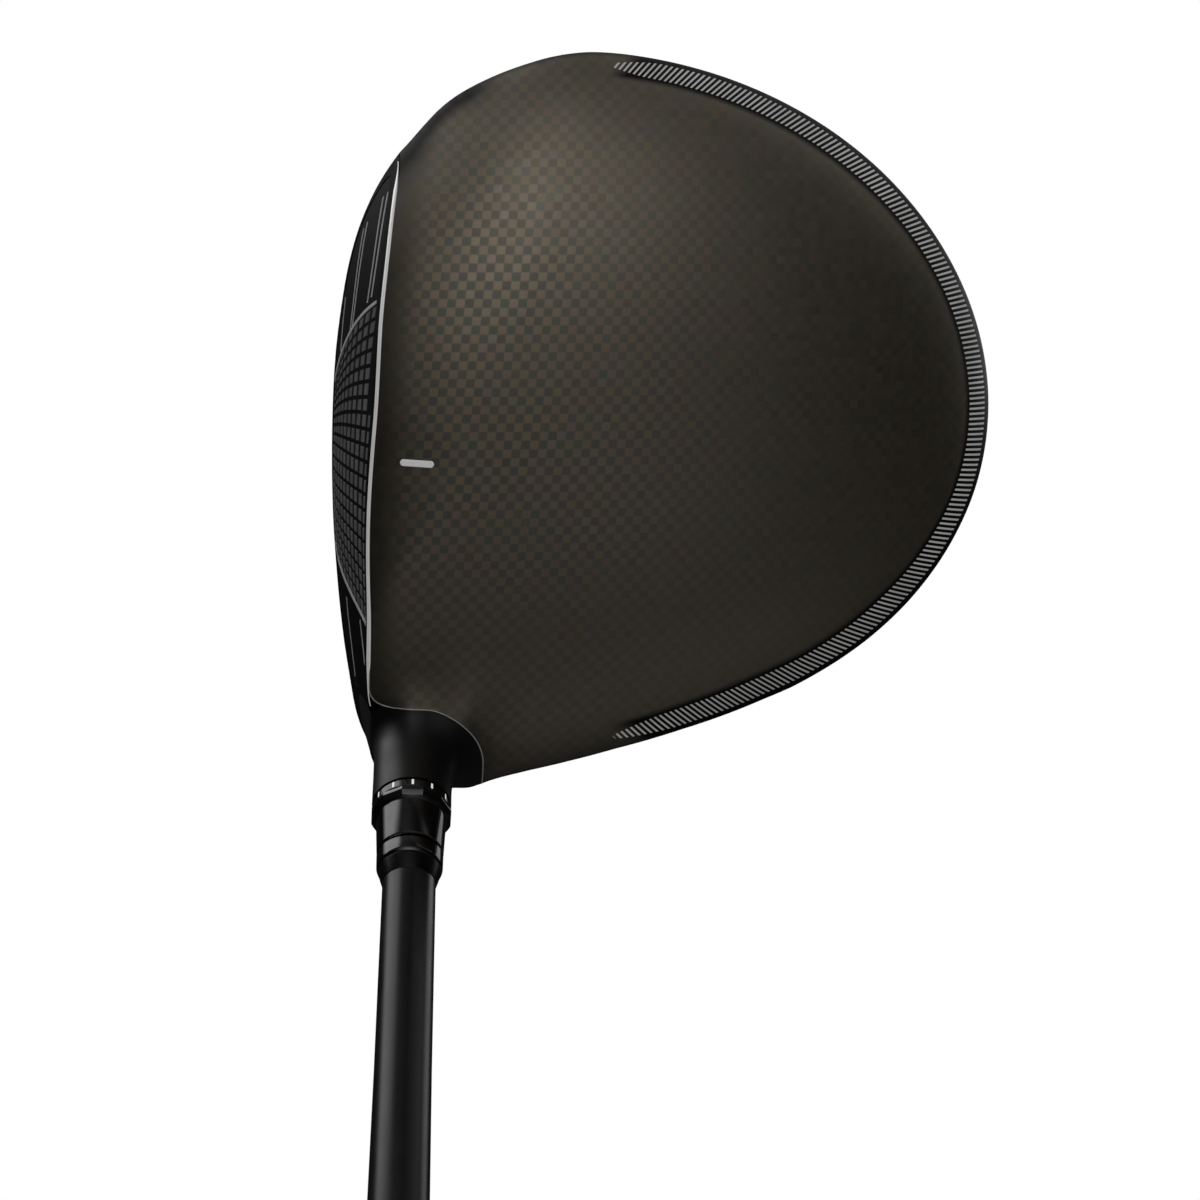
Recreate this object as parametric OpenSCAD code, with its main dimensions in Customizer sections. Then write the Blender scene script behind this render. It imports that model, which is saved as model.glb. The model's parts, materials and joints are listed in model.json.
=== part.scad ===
// Golf driver, right-handed: a hollow carbon and titanium head on a
// loft-adjusting sleeve, a tapered graphite shaft and a rubber grip.
// Millimetres. +Z is up with the club resting on its sole, -Y is the target
// side (the way the face looks), +X is the heel, towards the player's hands.
// The origin is the middle of the flat pad on the sole.

/* [Club] */
// Length of the whole club along the shaft, from sole to grip cap
club_length = 1162; // [1090:1:1180]
// Lie angle of the shaft, degrees above the ground
shaft_lie = 58; // [57:0.25:59]
// Angle between the shaft bore and the outside of the loft sleeve, degrees
sleeve_tilt = 1.5; // [1:0.1:1.6]
// Face loft at the middle of the face, degrees
loft = 9.5; // [8:0.5:12]

/* [Head] */
// Half width of the toe side, from the widest line of the back
toe_reach = 62.6; // [60:0.2:64]
// Half width of the heel side
heel_reach = 66.5; // [65:0.2:67]
// Y of the rearmost point of the rim
rear_reach = 83.6; // [80:0.2:86]
// Height of the top of the crown
crown_top = 61; // [59:0.5:62]
// Height of the rim at the face end
rim_front = 36; // [34:0.5:37]
// Height of the rim at the back
rim_rear = 23; // [21:0.5:25]
// Radius of the face, across (bulge) and up (roll)
face_radius = 290; // [250:10:330]
// Thickness of the carbon crown
crown_t = 1.0; // [0.8:0.1:1.2]
// Thickness of the cast front body
frame_t = 1.4; // [1.2:0.1:1.6]
// Thickness of the face plate
face_t = 2.65; // [2.3:0.05:2.7]

/* [Hosel and sleeve] */
// Outside radius of the hosel
hosel_r = 6.55; // [6.4:0.05:6.8]
// Outside radius of the sleeve inside the hosel
sleeve_r = 5.3; // [5.2:0.02:5.34]
// Number of index positions
index_n = 12; // [12]
// Radius of the hosel bolt shank (M5)
bolt_r = 2.45; // [2.4:0.01:2.46]

/* [Shaft and grip] */
// Radius of the shaft at its tip
tip_r = 4.25; // [4.2:0.01:4.27]
// Radius of the shaft at its butt
butt_r = 7.62; // [7.5:0.02:7.64]
// Length of the parallel tip section
tip_parallel = 76; // [60:1:90]
// Length of the grip
grip_length = 268; // [255:1:275]
// Radius of the vent bore in the grip cap
vent_r = 1.5; // [1.25:0.05:1.75]

/* [Rear weight] */
// Radius of the weight
weight_r = 7.55; // [7.4:0.01:7.6]

/* [Hidden] */
fit_gap = 0.03;      // clearance between close-fitting parts
joint_gap = 0.05;    // clearance between parts that butt together

// planform: four superellipse quadrants around a middle line
mid_x = -3.6;        // X of the widest fore-and-aft line
toe_y = 8.8;         // Y of the widest point of the toe
heel_y = -43;        // Y at which the heel curve turns, ahead of the face
front_y = -46;       // front limit of the curve, ahead of the face
toe_front_power = 1.72;
toe_back_power = 2.02;
heel_back_power = 2.11;
heel_front_power = 2;
dome = [0, -10];     // plan position of the top of the crown
crown_power = 0.68;  // how full the crown is
sole_power = 0.45;   // how full the sole is
sole_low = 0.9;      // lowest height of the curved sole
around_steps = 52;
ring_steps = 9;      // steps from middle to rim
split_y = 14;        // where the cast front ends and the carbon sole starts

// pieces of the head
face_mid = [4, -32, 32];  // middle of the face surface
face_wall = 4.2;     // depth of the frame behind the face surface
face_inset = 2;      // inset of the face plate and cover from the head form
cover_t = 0.33;
plate_front = 0.35;  // depth of the face plate behind the face surface
crown_edge = 1.3;    // depth of the crown's front edge behind the face surface
crown_lift = 0.3;    // height of the crown's lower edge above the rim line
ring_drop = 7;       // how far the rear ring reaches below the rim line
slot_r = 1.6;
pad_r = 8;
pad_h = 1.4;

// shaft axis: where it meets the ground, and how far up it meets the sleeve axis
ground_point = [22, -18];
cross_s = 66;
crossing = [ground_point.x + cross_s * cos(shaft_lie), ground_point.y, cross_s * sin(shaft_lie)];

// hosel: heights along its axis from the crossing, and radii
seat_h = 4.3;
sleeve_low = -28;
spline_top = -22;
shelf_h = -49.4;
recess_top = shelf_h - 2;  // top of the bolt head recess
washer_low = -53;
tube_low = -58;
tube_r = 6;

// shaft: heights along its axis from the crossing, and radii
cap_h = 4.5;
tip_h = -16.5;
tip_bore_r = tip_r + fit_gap;
tip_wall = 1.45;
butt_wall = 1.0;
taper_rate = 0.00455;      // gain in radius per millimetre
min_butt_parallel = 280;
butt_h = club_length - cross_s - cap_h;
taper_end = min(butt_h - min_butt_parallel, tip_h + tip_parallel + (butt_r - tip_r) / taper_rate);
grip_end_r = 13.7;

// rear weight: position, tilt of its axis, and sizes along that axis
weight_at = [-4, 62, 9.6];
weight_tilt = 24;
port_r = 9.6;
port_floor = -8.1;
weight_top = -1.8;
weight_low = -7.5;

// ---- Head form ----

// plan point of the rim; turn runs 0 to 4: front, toe, rear, heel, front
function rim_xy(turn) = let(
    quarter = floor(turn) % 4, angle = (turn - floor(turn)) * 90,
    c = max(0, cos(angle)), s = max(0, sin(angle)))
  quarter == 0 ? [mid_x - toe_reach * pow(s, 2/toe_front_power),
                  toe_y - (toe_y - front_y) * pow(c, 2/toe_front_power)] :
  quarter == 1 ? [mid_x - toe_reach * pow(c, 2/toe_back_power),
                  toe_y + (rear_reach - toe_y) * pow(s, 2/toe_back_power)] :
  quarter == 2 ? [mid_x + heel_reach * pow(s, 2/heel_back_power),
                  heel_y + (rear_reach - heel_y) * pow(c, 2/heel_back_power)] :
                 [mid_x + heel_reach * pow(c, 2/heel_front_power),
                  heel_y - (heel_y - front_y) * pow(s, 2/heel_front_power)];
// the rim falls from front to rear, starting at Y -30
function rim_z(y) = rim_front
  + (rim_rear - rim_front) * pow(min(1, max(0, (y + 30) / 113)), 1.2);
// lowest sole height at y; the sole rises towards the rear from Y 15
function sole_z(y, inset) = sole_low + inset + 4.5 * pow(max(0, y - 15) / 68, 2);
// a point of the head form; ring is 0 at the middle and 1 at the rim
function head_pt(turn, ring, on_crown, inset) = let(
    rim = rim_xy(turn), out = rim - dome,
    xy = dome + ring * (rim - inset * out / norm(out) - dome),
    edge_z = rim_z(rim.y))
  on_crown
    ? [xy.x, xy.y,
       edge_z + (crown_top - inset - edge_z) * pow(max(0, 1 - ring*ring), crown_power)]
    : [xy.x, xy.y,
       edge_z - (edge_z - sole_z(xy.y, inset)) * pow(max(0, 1 - pow(ring, 2.2)), sole_power)];
function head_ring(j, on_crown, inset) =
  [for (i = [0:around_steps-1])
    head_pt(4*i/around_steps, sin(90 * j / ring_steps), on_crown, inset)];
function quad(a, b, c, d) = [[a, b, c], [a, c, d]];

// closed head form, inset all round
module head_solid(inset) {
  count = around_steps;
  points = concat(
    [[dome.x, dome.y, crown_top - inset]],
    [for (j = [1:ring_steps]) each head_ring(j, true, inset)],
    [for (j = [ring_steps-1:-1:1]) each head_ring(j, false, inset)],
    [[dome.x, dome.y, sole_z(dome.y, inset)]]);
  rings = 2*ring_steps - 1;
  last = len(points) - 1;
  polyhedron(points = points, faces = concat(
    [for (i = [0:count-1]) [0, 1 + i, 1 + (i+1) % count]],
    [for (k = [0:rings-2]) for (i = [0:count-1])
      let(a = 1 + k*count + i, b = 1 + k*count + (i+1) % count)
      each quad(a, a + count, b + count, b)],
    [for (i = [0:count-1])
      [last, 1 + (rings-1)*count + (i+1) % count, 1 + (rings-1)*count + i]]));
}

// the curved face surface
function face_y(x, z) = face_mid.y + (z - face_mid.z) * tan(loft)
  + (pow(x - face_mid.x, 2) + pow(z - face_mid.z, 2)) / (2 * face_radius);
// block between two depths behind the face surface; its front is flat if none is given
module face_block(back, front = undef) {
  x_steps = 16;
  z_steps = 7;
  xs = [for (i = [0:x_steps]) -80 + 160 * i / x_steps];
  zs = [for (k = [0:z_steps]) -6 + 76 * k / z_steps];
  row = z_steps + 1;
  sheet = (x_steps + 1) * row;  // points in one sheet
  points = concat(
    [for (x = xs) for (z = zs) [x, is_undef(front) ? -95 : face_y(x, z) + front, z]],
    [for (x = xs) for (z = zs) [x, face_y(x, z) + back, z]]);
  polyhedron(points = points, faces = concat(
    // front and back sheets
    [for (i = [0:x_steps-1]) for (k = [0:z_steps-1]) let(a = i*row + k)
      each quad(a, a+1, a+row+1, a+row)],
    [for (i = [0:x_steps-1]) for (k = [0:z_steps-1]) let(a = sheet + i*row + k)
      each quad(a, a+row, a+row+1, a+1)],
    // bottom and top
    [for (i = [0:x_steps-1]) let(a = i*row)
      each quad(a, a+row, sheet+a+row, sheet+a)],
    [for (i = [0:x_steps-1]) let(a = i*row + z_steps)
      each quad(a, sheet+a, sheet+a+row, a+row)],
    // toe and heel ends
    [for (k = [0:z_steps-1]) each quad(k, sheet+k, sheet+k+1, k+1)],
    [for (k = [0:z_steps-1]) let(a = x_steps*row + k)
      each quad(a, a+1, sheet+a+1, sheet+a)]));
}
// head form cut off at a depth behind the face surface
module head_cut(inset, depth) {
  difference() {
    head_solid(inset);
    face_block(depth);
  }
}

// region above the rim line, moved up by lift
module above_rim(lift) {
  translate([-90, 0, 0]) rotate([90, 0, 90]) linear_extrude(180)
    polygon(concat([for (y = [-95:5:100]) [y, rim_z(y) + lift]], [[100, 95], [-95, 95]]));
}
// plan region of the hosel: the rounded corner of the crown that is left out
module hosel_zone(gap) {
  corner = [56, -15.5];  // centre of the rounding
  round_r = 10;
  low_y = -90;
  translate([0, 0, -20]) linear_extrude(120) union() {
    translate([corner.x - gap, low_y]) square([60, corner.y + round_r - low_y + gap]);
    translate([corner.x - round_r - gap, low_y]) square([60, corner.y - low_y]);
    translate(corner) circle(r = round_r + gap, $fn = 48);
  }
}
module behind_split(gap) { translate([-100, split_y + gap, -30]) cube([200, 100, 150]); }
// superellipse outline of the face opening, run through the head along Y
module face_window(grow) {
  rotate([90, 0, 0]) translate([0, 0, -60]) linear_extrude(160)
    polygon([for (i = [0:47]) let(a = 360*i/48, c = cos(a), s = sin(a))
      [-8 + (52 + grow) * sign(c) * pow(abs(c), 2/2.6),
       31 + (31 + grow) * sign(s) * pow(abs(s), 2/2.6)]]);
}
// slot across the sole, from Z -4 up
module sole_slot(r, top) {
  toe_x = -36;
  heel_x = 10;
  y = -21;
  low = -4;
  translate([0, 0, low]) linear_extrude(top - low) union() {
    translate([toe_x, y]) circle(r = r, $fn = 24);
    translate([heel_x, y]) circle(r = r, $fn = 24);
    translate([toe_x, y - r]) square([heel_x - toe_x, 2*r]);
  }
}

// ---- Shared placing and shapes ----

module at_hosel() {
  translate(crossing) rotate([0, 90 - shaft_lie - sleeve_tilt, 0]) children();
}
module at_shaft() { translate(crossing) rotate([0, 90 - shaft_lie, 0]) children(); }
// local +Z points out of the sole, down and to the rear
module at_weight() { translate(weight_at) rotate([180 + weight_tilt, 0, 0]) children(); }
module each_index() { for (k = [0:index_n-1]) rotate(k * 360 / index_n) children(); }

// a turned part from a list of [radius, height] points
module turned(points) { rotate_extrude($fn = 64) polygon(points); }
module ring(inner, outer, low, high) {
  turned([[inner, low], [outer, low], [outer, high], [inner, high]]);
}
module rod(r, low, height, sides = 48) {
  translate([0, 0, low]) cylinder(r = r, h = height, $fn = sides);
}
// block centred on Y, from x outwards and from low up
module tab(x, low, size) { translate([x, -size.y/2, low]) cube(size); }
// radius of a 48-sided cylinder whose flats lie at r
function flats_r(r) = r / cos(180/48);
// six-lobed driver recess
module lobes(r, h) {
  union() {
    cylinder(r = r * 0.8, h = h, $fn = 36);
    for (k = [0:5]) rotate(60 * k) translate([r * 0.8, 0, 0])
      cylinder(r = r * 0.22, h = h, $fn = 24);
  }
}

// ---- Shaft and grip ----

module shaft() {
  color("#17181a") at_shaft() turned([
    [tip_r - tip_wall, tip_h], [tip_r, tip_h], [tip_r, tip_h + tip_parallel],
    [butt_r, taper_end], [butt_r, butt_h], [butt_r - butt_wall, butt_h],
    [butt_r - butt_wall, taper_end], [tip_r - tip_wall, tip_h + tip_parallel]]);
}
module shaft_tip_plug() {
  color("#c8b08a") at_shaft() rod(tip_r - tip_wall - 0.02, tip_h + 0.3, 5);
}
module ferrule_ring() {
  color("#0d0d0e") at_shaft() turned([[tip_bore_r, 16.75], [5.0, 16.75], [5.38, 17.0],
    [5.36, 19.9], [5.2, 20.1], [tip_bore_r, 20.1]]);
}
module ferrule() {
  color("#111112") at_shaft() turned(concat([[tip_bore_r, 20.15], [5.15, 20.15], [5.22, 20.4]],
    [for (a = [10:10:80]) [4.42 + 0.8 * cos(a), 21.0 + 2.6 * sin(a)]],
    [[4.42, 23.6], [tip_bore_r, 23.6]]));
}
module grip_tape() {
  color("#d8cfa8") at_shaft()
    ring(butt_r + 0.02, butt_r + 0.14, butt_h - grip_length + 8, butt_h - 1);
}
module grip() {
  low = butt_h - grip_length + 4.5;
  bore_r = butt_r + 0.16;
  top = butt_h - 0.2;
  color("#1b1b1c") at_shaft() turned([[bore_r, low], [9.0, low], [9.3, low + 1.2],
    [9.75, low + 60], [10.6, low + 150], [11.7, low + 215], [12.6, butt_h - 12],
    [13.6, butt_h - 3], [grip_end_r, top], [bore_r, top]]);
}
module grip_cap() {
  color("#202021") at_shaft() difference() {
    turned([[0, butt_h + joint_gap], [grip_end_r, butt_h + joint_gap], [13.6, butt_h + 2.2],
      [12.2, butt_h + 3.8], [10.5, butt_h + cap_h], [0, butt_h + cap_h]]);
    rod(vent_r, butt_h - 1, 8);
  }
}

// ---- Hosel and sleeve ----

module loft_sleeve() {
  flange_low = seat_h + joint_gap;
  color("#1c1d1f") at_hosel() difference() {
    union() {
      turned([[0, sleeve_low], [sleeve_r, sleeve_low], [sleeve_r, flange_low],
        [6.33, flange_low], [6.33, 6.5], [6.1, 6.8], [6.1, 9.1], [5.72, 9.4],
        [5.38, 15.9], [4.98, 16.0], [4.98, 16.5], [0, 16.5]]);
      // twelve-sided collar
      translate([0, 0, 7.1]) rotate(15) cylinder(r = 6.72, h = 1.6, $fn = 12);
    }
    // shaft bore, tilted, and the bolt hole
    rotate([0, sleeve_tilt, 0]) rod(tip_bore_r, tip_h - 0.3, 60, 64);
    rod(bolt_r + 0.05, sleeve_low - 1, 10.5);
    // spline grooves
    each_index() tab(4.72, sleeve_low - 1, [2, 1.24, spline_top - sleeve_low + 1.6]);
    // pockets of the index marks
    each_index() tab(6.04, 4.72, [1, 0.52, 1.36]);
  }
}
module index_marks() {
  color("#e6e6e2") at_hosel() each_index() tab(6.06, 4.74, [0.29, 0.48, 1.32]);
}
module hosel_tube() {
  color("#4a4c50") at_hosel() union() {
    difference() {
      turned([[0, tube_low], [tube_r, tube_low], [tube_r, seat_h - 0.05], [0, seat_h - 0.05]]);
      rod(sleeve_r + 0.1, shelf_h, 80, 64);
      rod(bolt_r + 0.3, shelf_h - 10, 20);
      rod(4.7, tube_low - 1, recess_top - tube_low + 1, 64);
    }
    // index keys
    each_index() tab(4.85, sleeve_low + 0.1, [0.85, 1.1, spline_top - sleeve_low - 0.1]);
  }
}
module bolt_washer() {
  bore_r = bolt_r + 0.25;
  top = recess_top - 0.1;
  color("#9a9b9e") at_hosel() turned([[bore_r, washer_low], [4.4, washer_low], [4.4, top - 0.4],
    [3.9, top], [bore_r, top]]);
}
module hosel_bolt() {
  head_top = washer_low - 0.1;
  color("#55565a") at_hosel() difference() {
    turned([[0, -57.4], [3.6, -57.4], [3.9, -57.1], [3.9, head_top], [bolt_r, head_top],
      [bolt_r, -21.2], [bolt_r - 0.5, -20.7], [0, -20.7]]);
    translate([0, 0, -58]) lobes(2.2, 3.6);
  }
}
module bolt_retainer() {
  color("#707175") at_hosel() ring(bolt_r + 0.02, 4.1, shelf_h + 0.2, shelf_h + 0.9);
}

// ---- Head ----
// resize([0, 0, 0]) keeps every size; it wraps the pieces cut from the faceted head form.

// outside of the hosel, flaring into the head
module hosel_skin() {
  top = seat_h - 0.02;
  difference() {
    at_hosel() rotate_extrude($fn = 48) polygon(concat([[0, -21], [13.6, -21]],
      [for (k = [0:8]) let(u = k/8) [hosel_r + 7 * pow(1 - u, 2.2), -20 + 20 * u]],
      [[hosel_r, top], [0, top]]));
    face_block(-1);
  }
}
module body_frame() {
  room_edge = crown_edge - fit_gap;
  room_lift = crown_lift - fit_gap;
  color("#1a1a1b") resize([0, 0, 0]) difference() {
    union() {
      difference() {
        head_cut(0, 0);
        head_cut(frame_t, face_wall);
        // room for the carbon crown, the ring and the carbon sole
        difference() {
          above_rim(room_lift);
          face_block(room_edge);
          hosel_zone(0);
        }
        behind_split(0);
      }
      // lip that the crown is bonded to
      intersection() {
        difference() {
          head_cut(crown_t + fit_gap, face_wall - 0.05);
          head_cut(crown_t + 1.0, face_wall);
        }
        face_block(11);
        above_rim(-0.5);
      }
      hosel_skin();
      // wall around the hosel tube at the sole
      intersection() {
        at_hosel() rod(7.4, -62, 14);
        head_cut(0.4, 0.4);
      }
    }
    // face pocket
    intersection() {
      head_solid(face_inset - fit_gap);
      face_block(plate_front + face_t + fit_gap, -5);
      face_window(fit_gap);
    }
    // smaller opening behind it
    intersection() {
      head_solid(5.2);
      face_block(12, -5);
      face_window(-3.2);
    }
    // bore for the hosel tube, right through
    at_hosel() rod(flats_r(tube_r + 0.04), -80, 100);
    sole_slot(slot_r, 17);
    // room for the crown panel where the hosel spreads under it
    intersection() {
      above_rim(room_lift);
      difference() {
        head_cut(-6, room_edge);
        head_solid(crown_t + 0.02);
        hosel_zone(0);
      }
    }
    // recess for the sole pad
    rod(flats_r(pad_r + 0.05), -2, pad_h + 0.05 + 2);
  }
}
module crown_panel() {
  color("#3b3731") resize([0, 0, 0]) difference() {
    head_cut(0, crown_edge);
    head_solid(crown_t);
    // everything below the crown's edge
    difference() {
      translate([-95, -95, -10]) cube([190, 200, 100]);
      above_rim(crown_lift);
    }
    hosel_zone(fit_gap);
  }
}
module sole_panel() {
  color("#232326") resize([0, 0, 0]) difference() {
    intersection() {
      head_solid(0);
      behind_split(joint_gap);
    }
    head_solid(1.2);
    above_rim(-ring_drop - joint_gap);
    at_weight() rod(flats_r(port_r + joint_gap), -20, 30);
  }
}
module rear_ring() {
  color("#111113") resize([0, 0, 0]) difference() {
    intersection() {
      head_solid(0);
      behind_split(joint_gap);
      above_rim(-ring_drop);
    }
    head_solid(1.6);
    above_rim(crown_lift - joint_gap);
  }
}
// layer of the face between two depths behind its surface
module face_layer(front, back) {
  intersection() {
    head_solid(face_inset);
    face_block(back, front);
    face_window(0);
  }
}
module face_plate() {
  color("#0f1012") resize([0, 0, 0]) face_layer(plate_front, plate_front + face_t);
}
module face_cover() { color("#0b0b0d") resize([0, 0, 0]) face_layer(0, cover_t); }
module sole_slot_insert() {
  color("#2a2a2c") resize([0, 0, 0]) difference() {
    intersection() {
      head_solid(0.1);
      sole_slot(slot_r - 0.05, 12);
    }
    head_solid(3.0);
  }
}
module sole_pad() { color("#3a3b3d") cylinder(r = pad_r, h = pad_h, $fn = 64); }
// short round-ended line standing just proud of the crown
module alignment_mark() {
  r = 0.55;
  half = 2.2;
  color("#cfcfca") resize([0, 0, 0]) difference() {
    intersection() {
      head_solid(-0.08);
      translate([3.3, -19.2, 40]) linear_extrude(30) union() {
        translate([-r, -half]) square([2*r, 2*half]);
        translate([0, -half]) circle(r = r, $fn = 16);
        translate([0, half]) circle(r = r, $fn = 16);
      }
    }
    head_solid(-0.02);
  }
}
module sole_ribs() {
  color("#2c2d30") resize([0, 0, 0]) for (x = [-30, -12]) difference() {
    intersection() {
      head_solid(frame_t + joint_gap);
      translate([x, -16, -5]) cube([1.2, 28, 30]);
    }
    head_solid(frame_t + 4);
  }
}

// ---- Rear weight ----

module weight_port() {
  bore_r = 2.05;
  low = -15;
  top = -1.9;
  seat_r = weight_r + 0.1;
  color("#3c3d40") at_weight() difference() {
    turned([[bore_r, low], [port_r, low], [port_r, top], [seat_r, top],
      [seat_r, port_floor], [bore_r, port_floor]]);
    tab(7, port_floor + 0.05, [1.45, 1.8, 12]);
  }
}
module rear_weight() {
  color("#8c8d90") at_weight() union() {
    turned([[2.2, weight_low], [weight_r, weight_low], [weight_r, weight_top - 0.6],
      [weight_r - 0.6, weight_top], [3.5, weight_top], [3.5, -4.2], [2.2, -4.2]]);
    tab(7, weight_low, [1.2, 1.6, 5]);
  }
}
module weight_gasket() {
  color("#222222") at_weight() ring(2.3, 7.2, port_floor + 0.05, weight_low - 0.05);
}
module rear_weight_screw() {
  color("#6d6e72") at_weight() difference() {
    turned([[0, -13.4], [1.7, -13.4], [1.95, -13.1], [1.95, -4.15], [3.3, -4.15],
      [3.3, -2.2], [3.0, -1.9], [0, -1.9]]);
    translate([0, 0, -3.6]) lobes(1.9, 3);
  }
}

shaft();
shaft_tip_plug();
loft_sleeve();
index_marks();
ferrule_ring();
ferrule();
grip_tape();
grip();
grip_cap();
body_frame();
crown_panel();
sole_panel();
rear_ring();
face_plate();
face_cover();
sole_slot_insert();
sole_pad();
hosel_tube();
alignment_mark();
weight_port();
sole_ribs();
bolt_washer();
hosel_bolt();
bolt_retainer();
rear_weight();
weight_gasket();
rear_weight_screw();
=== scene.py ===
"""Golf driver: hollow head, loft sleeve, shaft and grip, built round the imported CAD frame.

The sole pad rests on the origin. +Z is up and the face looks towards -Y. The toe is at -X; the
heel, the hosel and the shaft are at +X. Lengths are millimetres until a mesh is made.
"""
import json
import math

import bpy
import numpy as np
from mathutils import Matrix, Vector


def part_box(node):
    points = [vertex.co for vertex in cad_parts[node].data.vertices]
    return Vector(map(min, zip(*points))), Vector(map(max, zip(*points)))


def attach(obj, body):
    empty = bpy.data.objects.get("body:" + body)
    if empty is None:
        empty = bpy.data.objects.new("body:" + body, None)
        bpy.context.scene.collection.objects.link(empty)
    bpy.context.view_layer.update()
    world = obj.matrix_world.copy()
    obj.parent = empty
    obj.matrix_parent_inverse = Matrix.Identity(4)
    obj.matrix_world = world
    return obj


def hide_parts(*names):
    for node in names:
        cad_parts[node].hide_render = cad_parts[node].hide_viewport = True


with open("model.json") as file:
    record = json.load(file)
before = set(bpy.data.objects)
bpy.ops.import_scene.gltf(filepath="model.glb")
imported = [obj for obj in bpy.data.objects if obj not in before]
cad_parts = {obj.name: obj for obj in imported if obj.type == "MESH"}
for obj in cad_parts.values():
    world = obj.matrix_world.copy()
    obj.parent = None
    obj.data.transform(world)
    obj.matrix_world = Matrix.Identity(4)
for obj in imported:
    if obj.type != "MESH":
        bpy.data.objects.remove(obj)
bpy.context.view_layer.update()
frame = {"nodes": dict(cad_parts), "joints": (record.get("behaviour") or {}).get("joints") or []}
MM = 0.001
X_AXIS, Y_AXIS, Z_AXIS = np.eye(3)

# ------------------------------------------------------------------ head sizes


def box_mm(node):
    low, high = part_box(node)
    return np.array(low) * 1000.0, np.array(high) * 1000.0


crown_low, crown_high = box_mm("crown_panel")
ring_low, ring_high = box_mm("rear_ring")
MID_X = -3.6                    # where the front and rear of the rim outline meet the quarters
TOE_REACH = MID_X - min(crown_low[0], box_mm("body_frame")[0][0], ring_low[0])
HEEL_REACH = 66.5
FRONT_Y, TOE_Y, HEEL_Y, REAR_Y = -46.0, 8.8, -43.0, ring_high[1]
# superellipse powers of the rim quarters: toe front, toe rear, heel rear, heel front
TOE_FRONT, TOE_REAR, HEEL_REAR, HEEL_FRONT = 1.72, 2.02, 2.11, 2.0
DOME = np.array([0.0, -10.0])   # plan centre of the crown dome and the sole bowl
TOP_Z = crown_high[2]
SOLE_Z = 0.9
CROWN_BEND, SOLE_BEND, SOLE_POWER = 0.68, 0.45, 2.2
SPLIT_Y = 14.0                  # the front body ends here; sole shell and rim ring lie behind
SPLIT_GAP = 0.05
LOFT = math.tan(math.radians(9.5))
FACE_RADIUS = 290.0
FACE_X, FACE_Y, FACE_Z = 4.0, -32.0, 32.0   # point on the face where its bulge is zero
WINDOW = np.array([-8.0, 31.0])             # x and z of the middle of the face opening
WINDOW_HALF = (52.0, 31.0)
WINDOW_POWER = 2.6
SLOT_X, SLOT_Y = (-36.0, 10.0), -21.0       # ends of the sole slot's centre line
PAD_RADIUS = 8.0
SHELL_MARGIN = 2.0              # the face opening stays this far inside the head form


# ------------------------------------------------------------------ axes
def joint_axis(name):
    axis = np.array(next(j for j in frame["joints"] if j["name"] == name)["axis"], float)
    return axis / np.linalg.norm(axis)


LIE = math.radians(58.0)
SHAFT_AXIS = np.array([math.cos(LIE), 0.0, math.sin(LIE)])
HOSEL_AXIS = joint_axis("loft_index")
if HOSEL_AXIS[2] < 0:
    HOSEL_AXIS = -HOSEL_AXIS
HOSEL_ORIGIN = np.array([22.0, -18.0, 0.0]) + 66 * SHAFT_AXIS
HOSEL_RADIUS = 6.55
HOSEL_SEAT = 5.58               # height of the hosel's rim above its origin
WEIGHT_AXIS = joint_axis("weight_screw_turn")   # points down, out of the sole
if WEIGHT_AXIS[2] > 0:
    WEIGHT_AXIS = -WEIGHT_AXIS
WEIGHT_ORIGIN = np.array([-4.0, 62.0, 9.6])
weight_side = X_AXIS - WEIGHT_AXIS * (X_AXIS @ WEIGHT_AXIS)
weight_side /= np.linalg.norm(weight_side)
# turning frames: origin, axis, direction of angle zero
HOSEL = (HOSEL_ORIGIN, HOSEL_AXIS, np.cross(Y_AXIS, HOSEL_AXIS))
SHAFT = (HOSEL_ORIGIN, SHAFT_AXIS, np.cross(Y_AXIS, SHAFT_AXIS))
WEIGHT = (WEIGHT_ORIGIN, WEIGHT_AXIS, weight_side)
PAD = (np.zeros(3), Z_AXIS, X_AXIS)


# ------------------------------------------------------------------ small maths
def unit(vectors):
    return vectors / np.maximum(np.linalg.norm(vectors, axis=1)[:, None], 1e-12)


def ease(t):
    t = np.clip(t, 0, 1)
    return t * t * (3 - 2 * t)


def smooth_min(a, b, width):
    h = np.clip(0.5 + 0.5 * (b - a) / width, 0, 1)
    return b + (a - b) * h - width * h * (1 - h)


def smooth_max(a, b, width):
    return -smooth_min(-a, -b, width)


def blurred(padded, half, step, width=2.2):
    """Gaussian blur of samples that carry half extra ones at each end."""
    kernel = np.exp(-0.5 * (np.arange(-half, half + 1) * step / width) ** 2)
    return np.convolve(padded, kernel / kernel.sum(), "valid")


def gradient(field, points, step=0.04):
    result = np.zeros_like(points)
    for k in range(3):
        offset = step * np.eye(3)[k]
        result[:, k] = (field(points + offset) - field(points - offset)) / (2 * step)
    return result


def project(field, points, rounds):
    """Moves points onto field = 0."""
    for _ in range(rounds):
        slope = gradient(field, points)
        points = points - (field(points) / np.maximum((slope * slope).sum(1), 0.05))[:, None] * slope
    return points


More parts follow.
